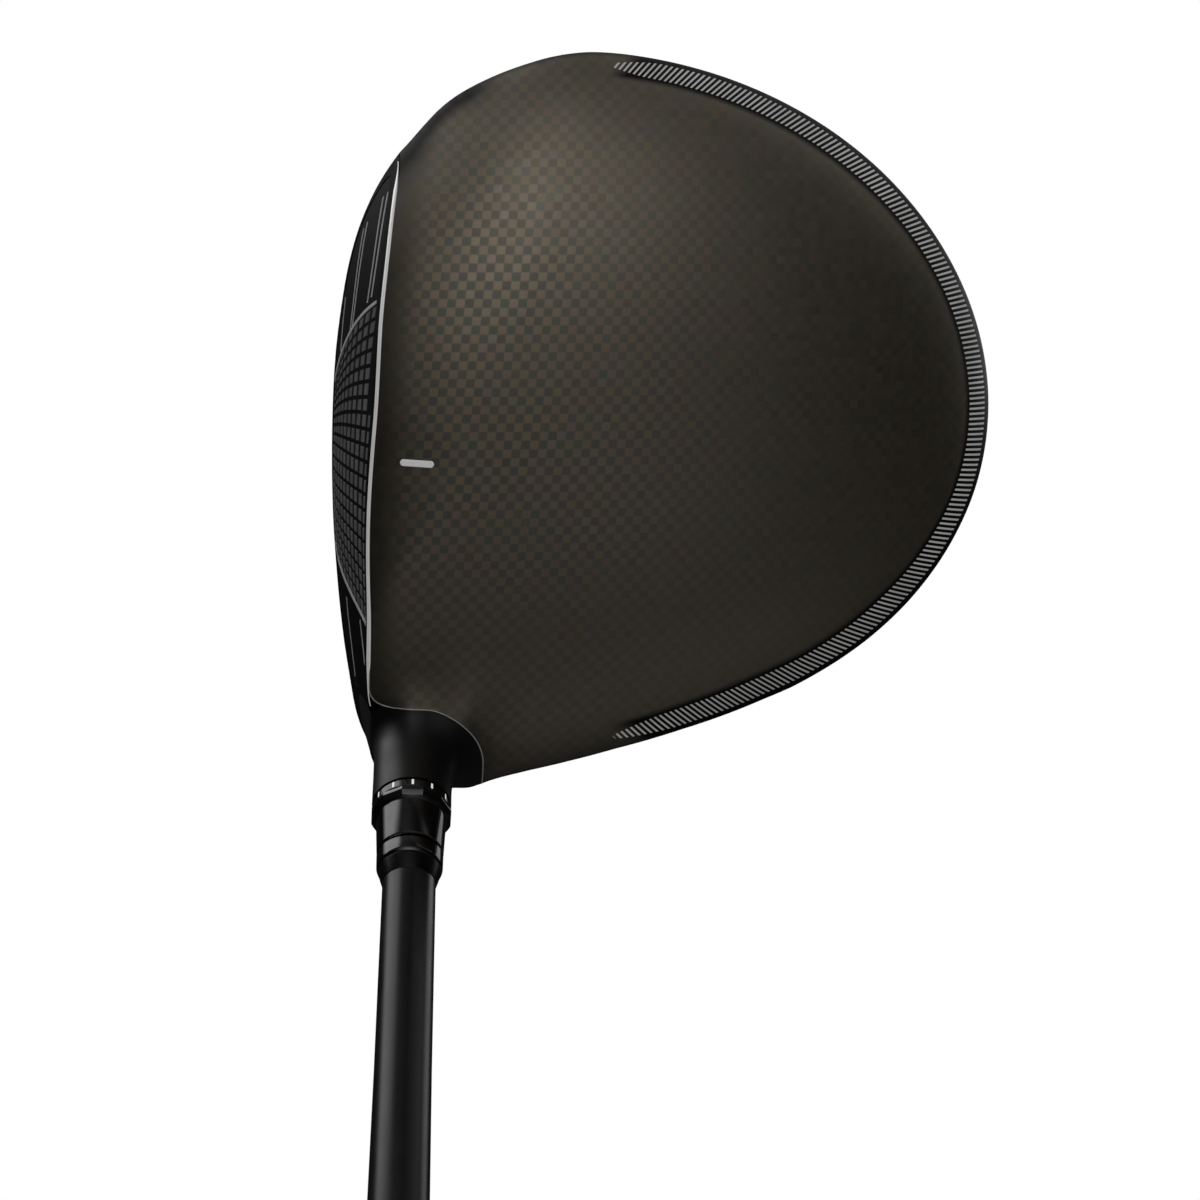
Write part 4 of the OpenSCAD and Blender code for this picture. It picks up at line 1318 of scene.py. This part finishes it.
def add_patch(parts, corners, depth, tag, columns, rows, base=0.13, bevel=0.07):
    """Raised patch with walls. corners: four (x, z) in order; depths lie behind the face."""
    corners = np.array(corners, float)
    u, v = np.meshgrid(np.linspace(0, 1, columns + 1), np.linspace(0, 1, rows + 1),
                       indexing="ij")
    u, v = u[..., None], v[..., None]

    def patch(quad, level):
        flat = ((1 - u) * ((1 - v) * quad[0] + v * quad[3])
                + u * ((1 - v) * quad[1] + v * quad[2]))
        x, z = flat[..., 0], flat[..., 1]
        return np.stack([x, face_y(x, z) + level, z], -1).reshape(-1, 3)

    middle = corners.mean(0)
    spread = corners - middle
    reach = np.maximum(np.linalg.norm(spread, axis=1)[:, None], 0.2)
    top = patch(middle + spread * (1 - bevel / reach), depth)
    low = patch(corners, base)
    top_faces = orient(top, grid_faces(columns + 1, rows + 1), np.tile(-Y_AXIS, (len(top), 1)))
    line = rows + 1
    border = np.array([k * line for k in range(columns + 1)]
                      + [columns * line + k for k in range(1, line)]
                      + [k * line + rows for k in range(columns - 1, -1, -1)]
                      + list(range(rows - 1, 0, -1)))
    verts = np.concatenate([top, top[border], low[border]])
    count = len(border)
    here = len(top) + np.arange(count)
    after = len(top) + (np.arange(count) + 1) % count
    walls = np.stack([here, after, after + count, here + count], -1)
    walls = orient(verts, walls, verts - top.mean(0))
    parts.add(warp(verts), np.concatenate([top_faces, walls]), tag=tag)


def fan_x(k, z):
    """x of the k-th fan line at height z; the lines draw together low on the face."""
    across = FAN_PITCH * k
    share = abs(across) / FAN_EDGE
    narrowing = (0.19 + 0.20 * min(share, 1.0)) * ((57.0 - z) / 49.0)
    if across < 0:
        extra = 6.0 * max((52.9 - z) / 38.0, 0.0) ** 2.2 * share
    else:
        extra = share * float(np.interp(z, [5, 13, 17.5, 26, 38.7, 52.5, 58],
                                        [0.4, 1.1, 2.3, 2.0, 0.9, -0.4, -0.4]))
    return FACE_X + across * (1 - narrowing) + extra


def cell_sides(k, z):
    return fan_x(k, z) + CELL_GAP_X, fan_x(k + 1, z) - CELL_GAP_X


def cell_corners(k, low, high):
    (low_left, low_right), (high_left, high_right) = cell_sides(k, low), cell_sides(k, high)
    return [(low_left, low), (low_right, low), (high_right, high), (high_left, high)]


def add_cells(parts):
    for k in range(-FAN_COUNT, FAN_COUNT):
        for start, stop in zip(CELL_ROWS[:-1], CELL_ROWS[1:]):
            low, high = start + CELL_GAP_Z, stop - CELL_GAP_Z
            corners = cell_corners(k, low, high)
            if not all(inside_face(x, z) for x, z in corners):
                # shorten the cell to the part inside the outline
                inside = [z for z in np.linspace(high, low, 12)
                          if all(inside_face(x, z) for x in cell_sides(k, z))]
                if not inside or inside[0] - inside[-1] < 1.0:
                    continue
                corners = cell_corners(k, inside[-1], inside[0])
            add_patch(parts, corners, depth=0.02, tag=CELL_TAG, columns=2, rows=3)


def add_stroke(parts, path, width, tag, depth):
    along = unit(np.gradient(path, axis=0))
    normal = np.stack([-along[:, 1], along[:, 0]], -1)
    left, right = path + normal * width / 2, path - normal * width / 2
    for k in range(len(path) - 1):
        corners = [left[k], left[k + 1], right[k + 1], right[k]]
        if all(inside_face(x, z, 0.1) for x, z in corners):
            add_patch(parts, corners, depth, tag, columns=1, rows=1, base=SKIN_DEPTH, bevel=0.0)


def build_face():
    rays, rings = 420, 45
    angles = full_turn(rays)
    outer = star_boundary(face_outline, WINDOW, angles, far=90.0) - 0.03
    verts = disc_points(WINDOW, angles, outer, np.linspace(0, 1, rings + 1)[1:],
                        lambda x, z: face_y(x, z) + SKIN_DEPTH)[:, [0, 2, 1]]
    slope_x, slope_z = face_slopes(verts[:, 0], verts[:, 2])
    normals = unit(np.stack([slope_x, -np.ones(len(verts)), slope_z], -1))
    tris = disc_faces(verts, normals, rays, rings)
    # the metal plate behind the skin follows the same outline
    plate_verts, plate_tris, _ = shell(verts + 0.36 * Y_AXIS, tris, normals, thickness=2.6)
    register(make_object("face_plate_metal", warp(plate_verts), MATS["titanium_inner"],
                         tris=plate_tris, sharp=40), "face_plate")
    parts = Parts()
    skin_verts, skin_tris, _ = shell(verts, tris, normals, thickness=0.19)
    parts.add(warp(skin_verts), tris=skin_tris)
    add_cells(parts)
    for k, offset in ((-FAN_COUNT, -0.42), (FAN_COUNT, 0.42)):
        path = np.array([(fan_x(k, z) + offset, z) for z in np.linspace(3.0, 58.5, 60)])
        add_stroke(parts, path, width=0.62, tag=EDGE_TAG, depth=0.0)
    for points in SCORE_LINES:
        line_x, line_z = np.array(points).T
        x = np.linspace(line_x[0], line_x[-1], 15)
        path = np.stack([x, np.polyval(np.polyfit(line_x, line_z, 2), x)], -1)
        add_stroke(parts, path, width=0.5, tag=LINE_TAG, depth=0.05)
    register(parts.make("face_skin", FACE_MAT, sharp=30), "face_cover")


# ------------------------------------------------------------------ shaft, sleeve and ferrule
# heights along the shaft or hosel axis from HOSEL_ORIGIN; profiles are (r, h[, corner radius])
TIP_H, TIP_STRAIGHT, BUTT_H = -16.5, 76.0, 1091.5
TIP_R, BUTT_R = 4.25, 7.62
TAPER = 0.00455
BORE_R = 4.26
SLEEVE_PROFILE = [
    (0, -28.0), (2.6, -28.0), (5.3, -28.0, 0.35), (5.3, -21.7), (5.301, -21.5), (5.3, 5.61),
    (5.9, 5.61), (6.33, 5.62, 0.12), (6.33, 7.30, 0.10), (6.14, 7.40), (6.14, 7.46),
    (6.30, 7.52), (6.50, 8.10), (6.52, 8.40, 0.15), (6.20, 9.20, 0.10), (5.86, 9.60),
    (5.74, 9.70), (5.72, 9.9), (5.39, 16.93, 0.06), (5.20, 17.0), (5.20, 17.16),
    (BORE_R, 17.16)]
RING_PROFILE = [(BORE_R, 17.18), (4.9, 17.18), (5.38, 17.20, 0.07), (5.33, 19.7, 0.3),
                (5.10, 20.20, 0.12), (BORE_R, 20.20)]
FERRULE_PROFILE = [(BORE_R, 20.22), (5.02, 20.22, 0.05), (5.03, 20.35, 0.05), (4.90, 20.9, 0.3),
                   (4.62, 22.0, 0.5), (4.34, 22.95, 0.2), (BORE_R, 23.05)]


def build_shaft():
    taper_end = min(BUTT_H - 280, TIP_H + TIP_STRAIGHT + (BUTT_R - TIP_R) / TAPER)
    profile = rounded([(0, TIP_H), (TIP_R, TIP_H, 0.3), (TIP_R, TIP_H + TIP_STRAIGHT),
                       (BUTT_R, taper_end), (BUTT_R, BUTT_H, 0.2), (0, BUTT_H)])
    turned("graphite_shaft", "shaft", densify(profile, 9.0), SHAFT, MATS["shaft_satin_black"],
           seg=112)


def sleeve_radius(angle, r, h):
    """Twelve spline grooves at the foot and twelve flats round the collar."""
    phase = (angle * 6 / math.pi + 0.5) % 1.0
    groove = np.clip((0.14 - np.abs(phase - 0.5)) / 0.03, 0, 1)
    r = np.where((h < -21.6) & (r > 4.8), r - 0.55 * groove, r)
    half = math.pi / 12
    local = ((angle + half) % (2 * half)) - half
    return np.where((h > 7.5) & (h < 9.3), np.minimum(r / np.cos(local), 6.76), r)


def build_index_ticks():
    """Twelve small raised strokes round the sleeve's band."""
    origin, axis, side = HOSEL
    band_r = 6.33
    half_angle = 0.19 / band_r
    heights = np.array([5.93, 5.99, 7.02, 7.08])
    radius = np.tile([6.335, 6.352, 6.352, 6.335], (5, 1))
    radius[[0, -1]] -= 0.02
    parts = Parts()
    for k in range(12):
        middle = k * math.pi / 6 + math.pi
        angle = np.linspace(middle - half_angle, middle + half_angle, 5)[:, None]
        radial = np.cos(angle) * side + np.sin(angle) * np.cross(axis, side)
        outward = radius[..., None] * radial[:, None]
        verts = (origin + heights[None, :, None] * axis + outward).reshape(-1, 3)
        parts.add(verts, orient(verts, grid_faces(5, 4), outward.reshape(-1, 3)))
    register(parts.make("index_ticks", MATS["index_white"]), "index_marks", "shaft_assembly")


def build_sleeve_and_ferrule():
    turned("loft_sleeve_body", "loft_sleeve", SLEEVE_PROFILE, HOSEL,
           MATS["sleeve_gloss_black"], seg=288, radius_fn=sleeve_radius, sharp=16.0)
    build_index_ticks()
    turned("ferrule_band", "ferrule_ring", RING_PROFILE, SHAFT, MATS["ferrule_ring_gloss"],
           seg=160, steps=5)
    turned("ferrule_cone", "ferrule", FERRULE_PROFILE, SHAFT, MATS["ferrule_black"], seg=160,
           sharp=50, steps=5)


# ------------------------------------------------------------------ grip and cap
GRIP_START, GRIP_END = BUTT_H - 268 + 4.5, BUTT_H - 0.2
# radius, height
GRIP_TAPER = np.array([
    (9.0, GRIP_START), (9.3, GRIP_START + 1.2), (9.75, GRIP_START + 60),
    (10.6, GRIP_START + 150), (11.7, GRIP_START + 215), (12.6, BUTT_H - 12),
    (13.6, BUTT_H - 3), (13.7, GRIP_END)])
# radius, height above the butt, corner radius where rounded
CAP_PROFILE = [
    (1.5, -0.9), (13.2, 0.05), (13.7, 0.05, 0.2), (13.62, 2.2, 0.8), (12.3, 3.75, 0.9),
    (10.6, 4.35), (9.9, 4.42), (9.75, 4.12), (9.35, 4.12), (9.2, 4.44), (5.2, 4.49),
    (5.05, 4.25), (4.75, 4.25), (4.6, 4.5), (2.0, 4.5), (1.5, 4.25, 0.2), (1.5, -0.9)]
DIAMOND_BANDS = [(10, 58), (66, 148), (156, 232)]       # along the grip from its start
GRIP_RINGS = [5.0, 62.0, 152.0, 236.0, 240.0, 244.0]
DIAMONDS_ROUND, DIAMOND_PITCH = 18, 3.6


def grip_radius(angle, r, h):
    """Bands of small raised diamonds, and turned grooves."""
    along = h - GRIP_START
    banded = sum(np.clip((along - a) / 1.2, 0, 1) * np.clip((b - along) / 1.2, 0, 1)
                 for a, b in DIAMOND_BANDS)
    u, v = angle * DIAMONDS_ROUND / (2 * math.pi), along / DIAMOND_PITCH
    lines = np.minimum(np.abs(((u + v) % 1.0) - 0.5) * 2, np.abs(((u - v) % 1.0) - 0.5) * 2)
    cut = np.clip((0.30 - lines) / 0.12, 0, 1)
    rings = np.zeros_like(along)
    for place in GRIP_RINGS:
        rings = np.maximum(rings, np.exp(-((along - place) / 0.7) ** 2))
    carved = (along > 1.6) & (along < (GRIP_END - GRIP_START - 2.0))
    return np.where(carved, r - 0.32 * cut * np.clip(banded, 0, 1) - 0.42 * rings, r)


def build_grip():
    rows, seg = ((360, 216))
    heights = np.unique(np.concatenate([np.linspace(GRIP_START + 1.2, GRIP_END, rows),
                                        GRIP_TAPER[1:, 1]]))
    radii = np.interp(heights, GRIP_TAPER[:, 1], GRIP_TAPER[:, 0])
    inner = BUTT_R + 0.2
    profile = [(inner, GRIP_START), (8.8, GRIP_START), (9.1, GRIP_START + 0.15),
               (9.25, GRIP_START + 0.6), *zip(radii, heights), (inner, GRIP_END)]
    turned("grip_body", "grip", profile, SHAFT, MATS["grip_rubber"], seg=seg,
           radius_fn=grip_radius, sharp=55)
    cap = [(r, BUTT_H + h, *corner) for r, h, *corner in CAP_PROFILE]
    turned("grip_end_cap", "grip_cap", cap, SHAFT, MATS["cap_rubber"], seg=128, sharp=40)


# ------------------------------------------------------------------ alignment bar on the crown
BAR_X, BAR_Y = 3.3, -19.2
BAR_HALF_LENGTH, BAR_HALF_WIDTH = 2.75, 0.55


def build_alignment_bar():
    """Slightly raised bar along Y with round ends."""
    rows, columns = 33, 9
    along = np.linspace(-BAR_HALF_LENGTH, BAR_HALF_LENGTH, rows)[:, None]
    straight = BAR_HALF_LENGTH - BAR_HALF_WIDTH
    end = np.maximum(0, np.abs(along) - straight) / BAR_HALF_WIDTH
    half = BAR_HALF_WIDTH * np.sqrt(np.maximum(0.0, 1 - end ** 2))
    x = (BAR_X + np.linspace(-1, 1, columns)[None, :] * half).ravel()
    y = np.repeat(BAR_Y + along, columns)
    verts = np.stack([x, y, crown_z(x, y)], -1)
    normals = unit(gradient(head_field, verts))
    lift = np.full((rows, columns), 0.004)
    lift[1:-1, 1:-1] = 0.055
    verts = verts + normals * lift.reshape(-1, 1)
    parts = Parts()
    parts.add(warp(verts), orient(verts, grid_faces(rows, columns), normals))
    register(parts.make("alignment_bar", MATS["mark_paint"], sharp=None), "alignment_mark")


# ------------------------------------------------------------------ rear weight and screw
WEIGHT_PROFILE = [
    (2.2, -7.5), (7.2, -7.5), (7.55, -7.1, 0.15), (7.55, -2.5, 0.1), (6.95, -1.84, 0.15),
    (6.2, -1.80), (6.05, -2.02), (5.75, -2.02), (5.6, -1.80), (3.75, -1.8), (3.5, -2.05, 0.1),
    (3.5, -4.2), (2.2, -4.2)]
SCREW_PROFILE = [
    (0, -13.4), (1.5, -13.4), (1.7, -13.2), (1.95, -13.0), (1.95, -4.15), (3.1, -4.15),
    (3.3, -4.0, 0.1), (3.3, -2.25, 0.2), (2.95, -1.92, 0.1), (1.95, -1.90, 0.05),
    (1.80, -2.05), (1.72, -3.5), (1.2, -3.6), (0, -3.65)]


def screw_radius(angle, r, h):
    """Six lobes on the narrow part of the screw: its shank and the socket in its head."""
    return np.where((r < 2.2) & (r > 0.2), r * (1 + 0.12 * np.cos(6 * angle)), r)


def build_weight():
    turned("tungsten_weight", "rear_weight", WEIGHT_PROFILE, WEIGHT, MATS["weight_steel"],
           seg=128, rides="rear_weight")
    turned("weight_screw", "rear_weight_screw", SCREW_PROFILE, WEIGHT, MATS["screw_steel"],
           seg=144, radius_fn=screw_radius, rides="rear_weight_screw")


# ------------------------------------------------------------------ sole pad and slot filler
def build_sole_pad():
    """Disc with three fine rings cut into its underside."""
    profile = [(0, 0.12), (1.6, 0.12), (1.75, 0.0)]
    for groove in (3.2, 4.4, 5.6):
        profile += [(groove - 0.18, 0.0), (groove - 0.1, 0.13), (groove + 0.1, 0.13),
                    (groove + 0.18, 0.0)]
    profile += [(7.6, 0.0), (PAD_RADIUS, 0.35), (PAD_RADIUS, 1.38), (0, 1.38)]
    turned("sole_pad_disc", "sole_pad", profile, PAD, MATS["pad_metal"], seg=128, rides="head")


def build_slot_filler():
    """Round-ended strip in the sole slot, with cross ribs."""
    rows, columns = 240, 17
    x = np.linspace(SLOT_X[0] - 1.5, SLOT_X[1] + 1.5, rows)
    across = np.linspace(-1, 1, columns)
    past_end = np.maximum(0, np.maximum(SLOT_X[0] - x, x - SLOT_X[1]))
    half = np.sqrt(np.maximum(1.53 ** 2 - past_end ** 2, 0.02))
    cut = 0.28 * (np.abs(((x / 2.45) % 1.0) - 0.5) * 2 > 0.5)
    depth = 0.22 + cut[:, None] * np.clip((1 - np.abs(across))[None, :] * 4, 0, 1)
    grid_x = np.repeat(x, columns)
    grid_y = (SLOT_Y + across[None, :] * half[:, None]).ravel()
    verts = np.stack([grid_x, grid_y, sole_z(grid_x, grid_y)], -1)
    normals = unit(gradient(head_field, verts))
    verts = verts - normals * depth.reshape(-1, 1)
    tris = orient(verts, to_tris(grid_faces(rows, columns)), normals)
    verts, tris, _ = shell(verts, tris, normals, thickness=1.8)
    register(make_object("slot_filler", warp(verts), MATS["slot_polymer"], tris=tris, sharp=35),
             "sole_slot_insert")


# ------------------------------------------------------------------ CAD pieces that stay
CAD_FINISHES = {
    "shaft_tip_plug": "plug_cork", "grip_tape": "grip_tape_paper", "hosel_tube": "tube_metal",
    "weight_port": "port_anodised", "sole_ribs": "titanium_inner",
    "bolt_washer": "washer_steel", "hosel_bolt": "screw_steel",
    "bolt_retainer": "washer_steel", "weight_gasket": "gasket_rubber"}


def finish_cad_pieces():
    for node, finish in CAD_FINISHES.items():
        ob = frame["nodes"][node]
        ob.data.materials.clear()
        ob.data.materials.append(MATS[finish])
        for polygon in ob.data.polygons:
            polygon.use_smooth = True


# ------------------------------------------------------------------ camera, floor, light
def build_camera():
    """Looks down on the head, with its rear to the right and its heel at the bottom."""
    right = Vector((-0.0535255, 0.9951797, 0.0821729))
    down = Vector((0.9883204, 0.0410385, 0.1467603))
    forward = Vector((0.1426807, 0.0890686, -0.985753))
    cam = bpy.data.objects.new("camera", bpy.data.cameras.new("camera"))
    bpy.context.scene.collection.objects.link(cam)
    matrix = Matrix((right, -down, -forward)).transposed().to_4x4()
    matrix.translation = Vector((-27.2595, -20.7979, 416.574)) * MM
    cam.matrix_world = matrix
    cam.data.sensor_width = 36.0
    cam.data.lens = 66.0
    cam.data.clip_start = 0.01
    cam.data.clip_end = 50.0
    bpy.context.scene.camera = cam


def build_floor():
    """White to the camera, dark to every other ray."""
    half, z = 6.0, -0.13    # metres; below the lowest point the head reaches in any pose
    mesh = bpy.data.meshes.new("floor")
    mesh.from_pydata([(-half, -half, z), (half, -half, z), (half, half, z), (-half, half, z)],
                     [], [(0, 1, 2, 3)])
    floor = bpy.data.objects.new("floor", mesh)
    bpy.context.scene.collection.objects.link(floor)
    mat, net = new_material("floor_white")
    cloud = net.ramp(net.noise(net.coords(), scale=3.0), over=(0.3, 0.7))
    white, off_white, dark = (1.0, 1.0, 1.0), (0.998, 0.998, 0.998), (0.05, 0.05, 0.05)
    seen = net.value("ShaderNodeEmission", {"Strength": 1.0,
                                            "Color": net.mix(cloud, white, off_white)})
    other = net.value("ShaderNodeBsdfDiffuse", {"Color": rgba(dark)})
    net.finish(net.camera_switch(other, seen))
    mesh.materials.append(mat)
    floor.visible_glossy = False
    floor.visible_shadow = False
    floor.visible_diffuse = False


# Directions in degrees: azimuth 0 is the toe side, positive towards the back of the head.
# low side panels: azimuth from, to, elevation from, to, strength, azimuth and elevation softness
PANELS = [
    (-72, -28, -62, -12, 1.5, 7, 5),
    (-24, 8, -62, -12, 0.10, 4, 5),
    (14, 60, -62, -10, 0.34, 4, 5),
    (66, 92, -62, -28, 0.78, 4, 5)]
# broad soft lobes: azimuth, elevation, strength
LOBES = [(-18, 8, 0.12), (138, 8, 0.049), (164, 8, 0.097), (-18, 26, 0.031), (8, 26, 0.023),
         (-6, 44, 0.77), (30, 62, 0.026), (130, 62, 0.107), (180, 62, 0.048), (0, 88, 0.065)]
LOBE_TIGHTNESS = 14.0
AMBIENT = 0.012


def build_world():
    """Studio surround; the camera itself sees plain white."""
    world = bpy.data.worlds.new("studio")
    bpy.context.scene.world = world
    net = Net(world)
    ray = net.value("ShaderNodeTexCoord", output="Generated")
    ray_x, ray_y, ray_z = net.split(ray)
    azimuth = net.math("ARCTAN2", ray_y, ray_x * -1.0) * (180 / math.pi)
    elevation = net.math("ARCSINE", ray_z) * (180 / math.pi)

    def strip(angle, start, stop, soft):
        return (net.ramp(angle, over=(start - soft, start + soft))
                * net.ramp(angle, over=(stop - soft, stop + soft), to=(1.0, 0.0)))

    terms = []
    for az_from, az_to, el_from, el_to, strength, az_soft, el_soft in PANELS:
        terms.append(strip(azimuth, az_from, az_to, az_soft)
                     * strip(elevation, el_from, el_to, el_soft) * strength)
    for az, el, strength in LOBES:
        az, el = math.radians(az), math.radians(el)
        direction = (-math.cos(el) * math.cos(az), math.cos(el) * math.sin(az), math.sin(el))
        facing = net.value("ShaderNodeVectorMath", {0: ray, 1: direction}, "Value",
                           operation="DOT_PRODUCT")
        terms.append(net.math("EXPONENT", (facing - 1.0) * LOBE_TIGHTNESS) * strength)
    total = terms[0]
    for term in terms[1:]:
        total = total + term
    white = (1, 1, 1, 1)
    studio = net.value("ShaderNodeBackground", {"Strength": total + AMBIENT, "Color": white})
    plain = net.value("ShaderNodeBackground", {"Strength": 1.0, "Color": white})
    net.finish(net.camera_switch(studio, plain), "World")


# ------------------------------------------------------------------ build
build_crown()
build_front_body()
build_trim()
build_sole()
build_rim_ring()
build_face()
build_shaft()
build_sleeve_and_ferrule()
build_grip()
build_alignment_bar()
build_weight()
build_sole_pad()
build_slot_filler()
finish_cad_pieces()
build_camera()
build_floor()
build_world()

view = bpy.context.scene.view_settings
view.view_transform = "Standard"
view.look = "None"
view.exposure = 0.0
view.gamma = 1.0
